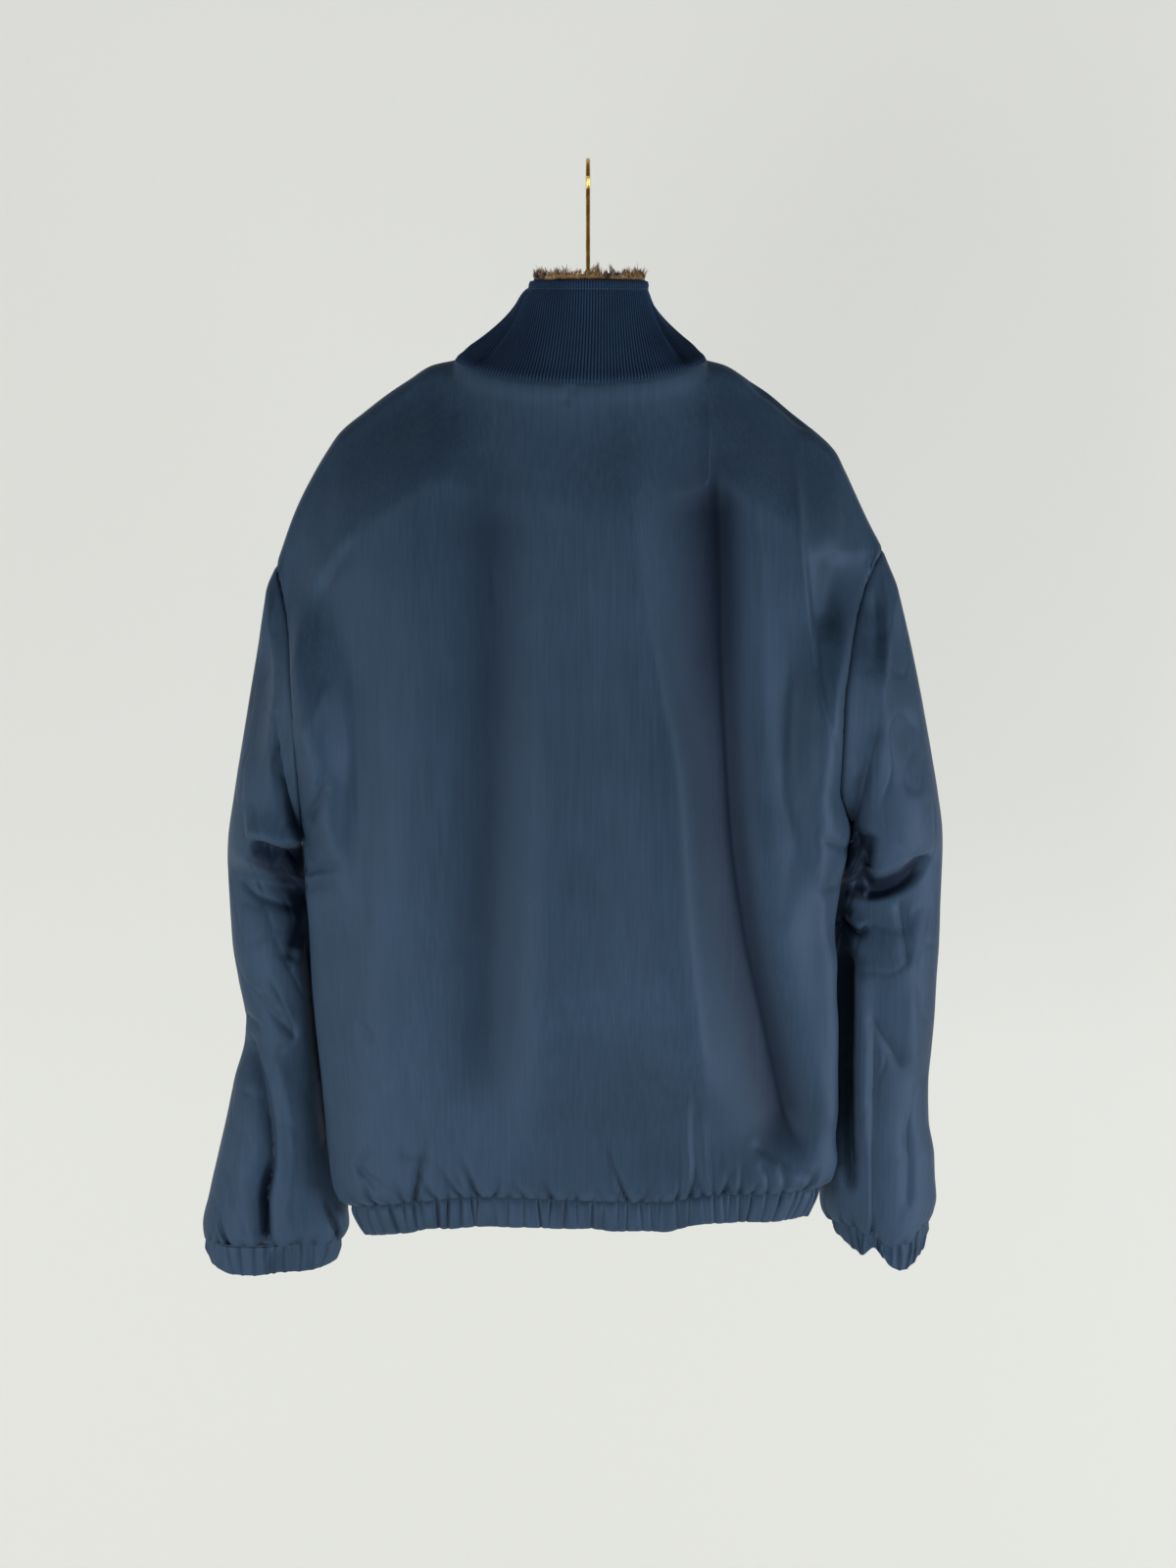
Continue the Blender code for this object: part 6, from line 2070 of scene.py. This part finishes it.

# %% [markdown]
# ### Knit, pile and thread
#
# The knit is matt and darker than the shell, with shade painted into its colour in the
# grooves between the ribs and painted light on their tops. The pile is tan with dark broken
# rosettes, the general pattern of a spotted cat's coat.

# %% Rib knit
rib_knit, tree, shader = finish("navy_rib_knit")
clouds = grouped(tree, cloud_group, Scale=14.0)["Mask"]
# Painted shade in the grooves between the ribs and painted light on their tops, read from each point's
# number.
stand = tree.nodes.new("ShaderNodeAttribute")
stand.attribute_name = "stands_out"
rib_light_and_shade = math_node(tree, "MULTIPLY", stand.outputs["Fac"], 0.75)
tone = math_node(tree, "MULTIPLY_ADD", clouds, 0.25, rib_light_and_shade)
colour = ramp(tree, tone, [(0.0, srgb(4, 9, 17)), (0.45, srgb(13, 28, 47)), (1.0, srgb(30, 54, 82))])
feed(shader, Base_Color=colour)
fluff = grouped(tree, fluff_group, Scale=1300.0)["Height"]
_, parts = object_place(tree)
loops = math_node(tree, "SINE", math_node(tree, "MULTIPLY", parts[2], 3900.0))
stitches = bump(tree, loops, 0.35, 0.00025)
feed(shader, Normal=bump(tree, fluff, 0.5, 0.0005, stitches))
feed(shader, Roughness=remap(tree, fluff, 0.0, 1.0, 0.75, 0.95), Specular_IOR_Level=0.12)
feed(shader, Sheen_Weight=0.05, Sheen_Roughness=0.6, Sheen_Tint=(0.35, 0.5, 0.75, 1.0))


# %% Pile


def pile_finish(name, light, dark, fluff_scale, depth):
    """Tan pile with dark rosettes."""
    made, tree, shader = finish(name)
    spots = grouped(tree, spot_group, Scale=58.0)
    clouds = grouped(tree, cloud_group, Scale=70.0)["Mask"]
    ground = ramp(tree, clouds, [(0.0, light[0]), (0.5, light[1]), (1.0, light[2])])
    blend = tree.nodes.new("ShaderNodeMix")
    blend.data_type = "RGBA"
    feed(blend, Factor=spots["Dark"], A=ground, B=(*dark, 1.0))
    feed(shader, Base_Color=blend.outputs["Result"])
    fluff = grouped(tree, fluff_group, Scale=fluff_scale)["Height"]
    feed(shader, Normal=bump(tree, fluff, 0.9, depth), Roughness=remap(tree, fluff, 0.0, 1.0, 0.8, 1.0))
    feed(shader, Specular_IOR_Level=0.2, Sheen_Weight=0.35, Sheen_Roughness=0.5)
    return made


TAN = (srgb(92, 66, 36), srgb(140, 104, 60), srgb(178, 142, 92))
pile_ground = pile_finish("pile_ground", TAN, srgb(22, 20, 21), 700.0, 0.0016)
pile_lock = pile_finish("pile_locks", TAN, srgb(20, 18, 18), 2200.0, 0.0004)

# %% Thread
thread, tree, shader = finish("navy_thread")
twist = grouped(tree, weave_group, Threads=5200.0)["Height"]
colour = ramp(tree, twist, [(0.0, srgb(22, 32, 48)), (1.0, srgb(44, 58, 80))])
feed(shader, Base_Color=colour, Normal=bump(tree, twist, 0.5, 0.0001), Roughness=0.6)

# %% [markdown]
# ### Zip, metal and wood
#
# The tape is a coarse herringbone, the teeth are moulded plastic, the slider is cast and
# plated, and small scratches dull it where fingers and the garment rub. Brass is brighter
# and warmer, and the hanger is varnished wood with its grain along the bar.

# %% Zip tape and teeth
zip_cloth, tree, shader = finish("zip_tape_cloth")
weave = grouped(tree, weave_group, Threads=4200.0)["Height"]
colour = ramp(tree, weave, [(0.0, srgb(15, 21, 32)), (1.0, srgb(34, 45, 62))])
feed(shader, Base_Color=colour, Normal=bump(tree, weave, 0.7, 0.0003), Roughness=0.8)

tooth_plastic, tree, shader = finish("zip_tooth_plastic")
clouds = grouped(tree, cloud_group, Scale=40.0)["Mask"]
colour = ramp(tree, clouds, [(0.0, srgb(20, 28, 41)), (1.0, srgb(33, 43, 59))])
feed(shader, Base_Color=colour, Roughness=remap(tree, clouds, 0.0, 1.0, 0.25, 0.42))
fine = grouped(tree, fluff_group, Scale=2600.0)["Height"]
feed(shader, Normal=bump(tree, fine, 0.15, 0.0001))


# %% Metal and wood


def metal_finish(name, dull, bright, rough_low, rough_high, scratch):
    """Plated or polished metal with fine scratches and duller patches."""
    made, tree, shader = finish(name)
    place, _ = object_place(tree)
    clouds = grouped(tree, cloud_group, Scale=120.0)["Mask"]
    lines = noise(tree, stretched(tree, place, (1.0, 1.0, 0.08)), scratch, 4.0, 0.7)
    feed(shader, Base_Color=ramp(tree, clouds, [(0.0, dull), (1.0, bright)]))
    worn = math_node(tree, "MULTIPLY_ADD", clouds, 0.5, math_node(tree, "MULTIPLY", lines, 0.5))
    feed(shader, Roughness=remap(tree, worn, 0.25, 0.75, rough_low, rough_high))
    feed(shader, Normal=bump(tree, lines, 0.12, 0.0002), Metallic=1.0)
    return made


plated = metal_finish("slider_plating", srgb(120, 117, 112), srgb(168, 165, 160), 0.26, 0.45, 2400.0)
brass = metal_finish("polished_brass", srgb(158, 122, 62), srgb(206, 170, 98), 0.16, 0.34, 1500.0)

varnished, tree, shader = finish("varnished_wood")
place, _ = object_place(tree)
grain_place = stretched(tree, place, (9.0, 160.0, 160.0))
grain = noise(tree, grain_place, 1.0, 5.0, 0.6, 0.8)
pores = noise(tree, stretched(tree, place, (60.0, 1500.0, 1500.0)), 1.0, 2.0, 0.5)
colour = ramp(
    tree, grain, [(0.3, srgb(112, 70, 36)), (0.5, srgb(150, 101, 57)), (0.7, srgb(178, 128, 78))]
)
feed(shader, Base_Color=colour, Normal=bump(tree, pores, 0.25, 0.0003))
feed(shader, Roughness=remap(tree, grain, 0.3, 0.7, 0.42, 0.3), Coat_Weight=0.4, Coat_Roughness=0.15)

# %% [markdown]
# ## Dressing the frame
#
# Each piece takes its finish, stands for the solids of the same part, and rides with the
# jacket. Only the pull tab rides with its own body, so that it swings.

# %% Finishes and bodies


def dress(piece, finishes, slot, body, *nodes):
    """Give a piece its finish, its body and the solids that it stands for; the slot is not used."""
    piece.data.materials.clear()
    for item in finishes:
        piece.data.materials.append(item)
    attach(piece, body)
    if nodes:
        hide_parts(*nodes)


dress(back, [shell_cloth, pile_ground], "shell_cloth", "jacket", "back")
for side in (1, -1):
    word = SIDE_NAME[side]
    lengths = [f"sleeve_{word}_{part}" for part in ("upper", "middle", "lower")]
    dress(fronts[side], [shell_cloth, pile_ground], "shell_cloth", "jacket", f"front_{word}")
    dress(sleeves[side], [shell_cloth, pile_ground], "shell_cloth", "jacket", *lengths)
    dress(cuffs[side], [shell_cloth], "shell_cloth", "jacket", f"cuff_{word}")
    dress(zip_tapes[side], [zip_cloth], "zip_chain", "jacket", f"zip_{word}")
    dress(zip_rows[side], [tooth_plastic], "zip_chain", "jacket", f"zip_{word}")
dress(waistband, [shell_cloth], "shell_cloth", "jacket", "waistband")
dress(collar, [rib_knit], "rib_knit", "jacket", "collar")
dress(collar_stitches, [thread], "rib_knit", "jacket")
dress(pile_strip, [pile_ground], "pile", "jacket", "collar_pile")
dress(pile_locks, [pile_lock], "pile", "jacket")
dress(slider, [plated], "slider_metal", "jacket", "zip_slider")
dress(pull_tab, [plated], "slider_metal", "zip_pull", "zip_pull")
dress(wooden_bar, [varnished], "hanger_wood", "jacket", "hanger")
dress(brass_hook, [brass], "hook_brass", "jacket", "hook")

# %% [markdown]
# ### Areas of the cloth
#
# A sheet can't grow when it is sewn and hung, and a gathered piece was cut longer than its
# seam. The areas of the back, the fronts and the sleeves as they hang are printed.

# %% Areas of the cloth as it hangs


def surface_area(grid, closed=False):
    """Area of a grid of points, in square metres."""
    if closed:
        grid = np.concatenate([grid, grid[:, :1]], axis=1)
    first, second = grid[1:, 1:] - grid[:-1, :-1], grid[1:, :-1] - grid[:-1, 1:]
    return float(np.linalg.norm(np.cross(first, second), axis=2).sum() / 2)


print("back %.4f m2" % surface_area(back_outer))
for side in (1, -1):
    areas = surface_area(front_outer[side]), surface_area(sleeve_outer[side], True)
    print(SIDE_NAME[side], "front %.4f sleeve %.4f m2" % areas)
for side in (1, -1):
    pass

# %% [markdown]
# ## Light, wall and floor
#
# The picture is lit softly and from low down, with a pale room all round. A large area lamp
# on the camera's left makes the broad sheen on the folds that face it, and one on the right
# strikes the other flanks at a flat angle. A small one far to the left brightens the
# sleeve's edge, and a fourth lights the jacket's front for the views from that side. No
# lamp shows itself. The wall is see-through from behind and gives off a little light, so
# it stays as pale as painted plaster in daylight without a lamp of its own.

# %% Studio


def area_lamp(name, place, target, size, power, colour):
    """A square lamp that looks at a point."""
    data = bpy.data.lights.new(name, "AREA")
    data.size = size
    data.energy = power
    data.color = colour
    lamp = bpy.data.objects.new(name, data)
    way = np.array(target, dtype=float) - np.array(place, dtype=float)
    lamp.location = place
    lamp.rotation_euler = (
        math.atan2(math.hypot(way[0], way[1]), -way[2]),
        0.0,
        math.atan2(way[1], way[0]) - math.pi / 2,
    )
    lamp.visible_camera = False
    bpy.context.scene.collection.objects.link(lamp)
    return lamp


# %% Finishes and planes of the room


def plain_finish(name, colour, mottle):
    """Painted plaster or matt floor: almost even, with a fine roller texture."""
    made, tree, shader = finish(name)
    clouds = grouped(tree, cloud_group, Scale=1.6)["Mask"]
    other = tuple(channel * (1 - mottle) for channel in colour)
    feed(shader, Base_Color=ramp(tree, clouds, [(0.0, other), (1.0, colour)]))
    rough = grouped(tree, fluff_group, Scale=380.0)["Height"]
    feed(shader, Normal=bump(tree, rough, 0.1, 0.001), Roughness=0.9)
    return made


def plane(name, corners, material):
    """A flat face that belongs to the room."""
    mesh = bpy.data.meshes.new(name)
    mesh.from_pydata([tuple(corner) for corner in corners], [], [tuple(range(len(corners)))])
    mesh.materials.append(material)
    made = bpy.data.objects.new(name, mesh)
    bpy.context.scene.collection.objects.link(made)
    return made


# %% Wall and floor
FLOOR = -2.0
WALL_BEHIND = -0.55
ROOM_HALF = 4
WALL_HALF = 3
WALL_TOP = 1.6
ROOM_FRONT = 5

wall_paint = plain_finish("wall_paint", srgb(104, 105, 102), 0.012)
tree = wall_paint.node_tree
shader = tree.nodes["Principled BSDF"]
feed(shader, Emission_Color=(*srgb(228, 229, 224), 1.0), Emission_Strength=0.72)
seen_from = tree.nodes.new("ShaderNodeNewGeometry").outputs["Backfacing"]
feed(shader, Alpha=math_node(tree, "SUBTRACT", 1.0, seen_from))
floor_edge = ((-1, WALL_BEHIND), (1, WALL_BEHIND), (1, ROOM_FRONT), (-1, ROOM_FRONT))
floor_corners = [(x * ROOM_HALF, y, FLOOR) for x, y in floor_edge]
plane("floor", floor_corners, plain_finish("floor_paint", srgb(214, 213, 208), 0.02))
wall_edge = ((-WALL_HALF, FLOOR), (-WALL_HALF, WALL_TOP), (WALL_HALF, WALL_TOP), (WALL_HALF, FLOOR))
wall = plane("wall", [(x, WALL_BEHIND, z) for x, z in wall_edge], wall_paint)
wall.visible_shadow = False

# %% Lamps and world
MIDDLE = (0.0, 0.0, -0.55)
LOWER_HALF = (0.0, 0.0, -0.75)
WARM_WHITE = (1.0, 0.985, 0.96)
COOL_WHITE = (0.96, 0.98, 1.0)
for lamp in (
    ("key", (1.5, 2.0, -1.4), LOWER_HALF, 1.25, 53, WARM_WHITE),
    ("fill", (-2.6, 1.3, -1.3), LOWER_HALF, 1.2, 88, COOL_WHITE),
    ("edge_light", (2.7, 0.7, -0.6), MIDDLE, 1.0, 20, COOL_WHITE),
    ("front_light", (0.3, -2.4, 0.2), MIDDLE, 1.3, 34, WARM_WHITE),
):
    area_lamp(*lamp)
world = bpy.data.worlds.new("room")
world.use_nodes = True
world.node_tree.nodes["Background"].inputs["Color"].default_value = (0.93, 0.95, 1.0, 1.0)
world.node_tree.nodes["Background"].inputs["Strength"].default_value = 0.17
bpy.context.scene.world = world

# %% [markdown]
# ## Face counts
#
# The eight pieces with the most faces are printed. The dressed model has to stay as large
# as its solids, apart from what soft cloth may stand proud.

# %% Sizes
faces = {item.name: len(item.data.polygons) for item in bpy.data.objects if item.type == "MESH"}
print("faces:", sorted(faces.items(), key=lambda pair: -pair[1])[:8])
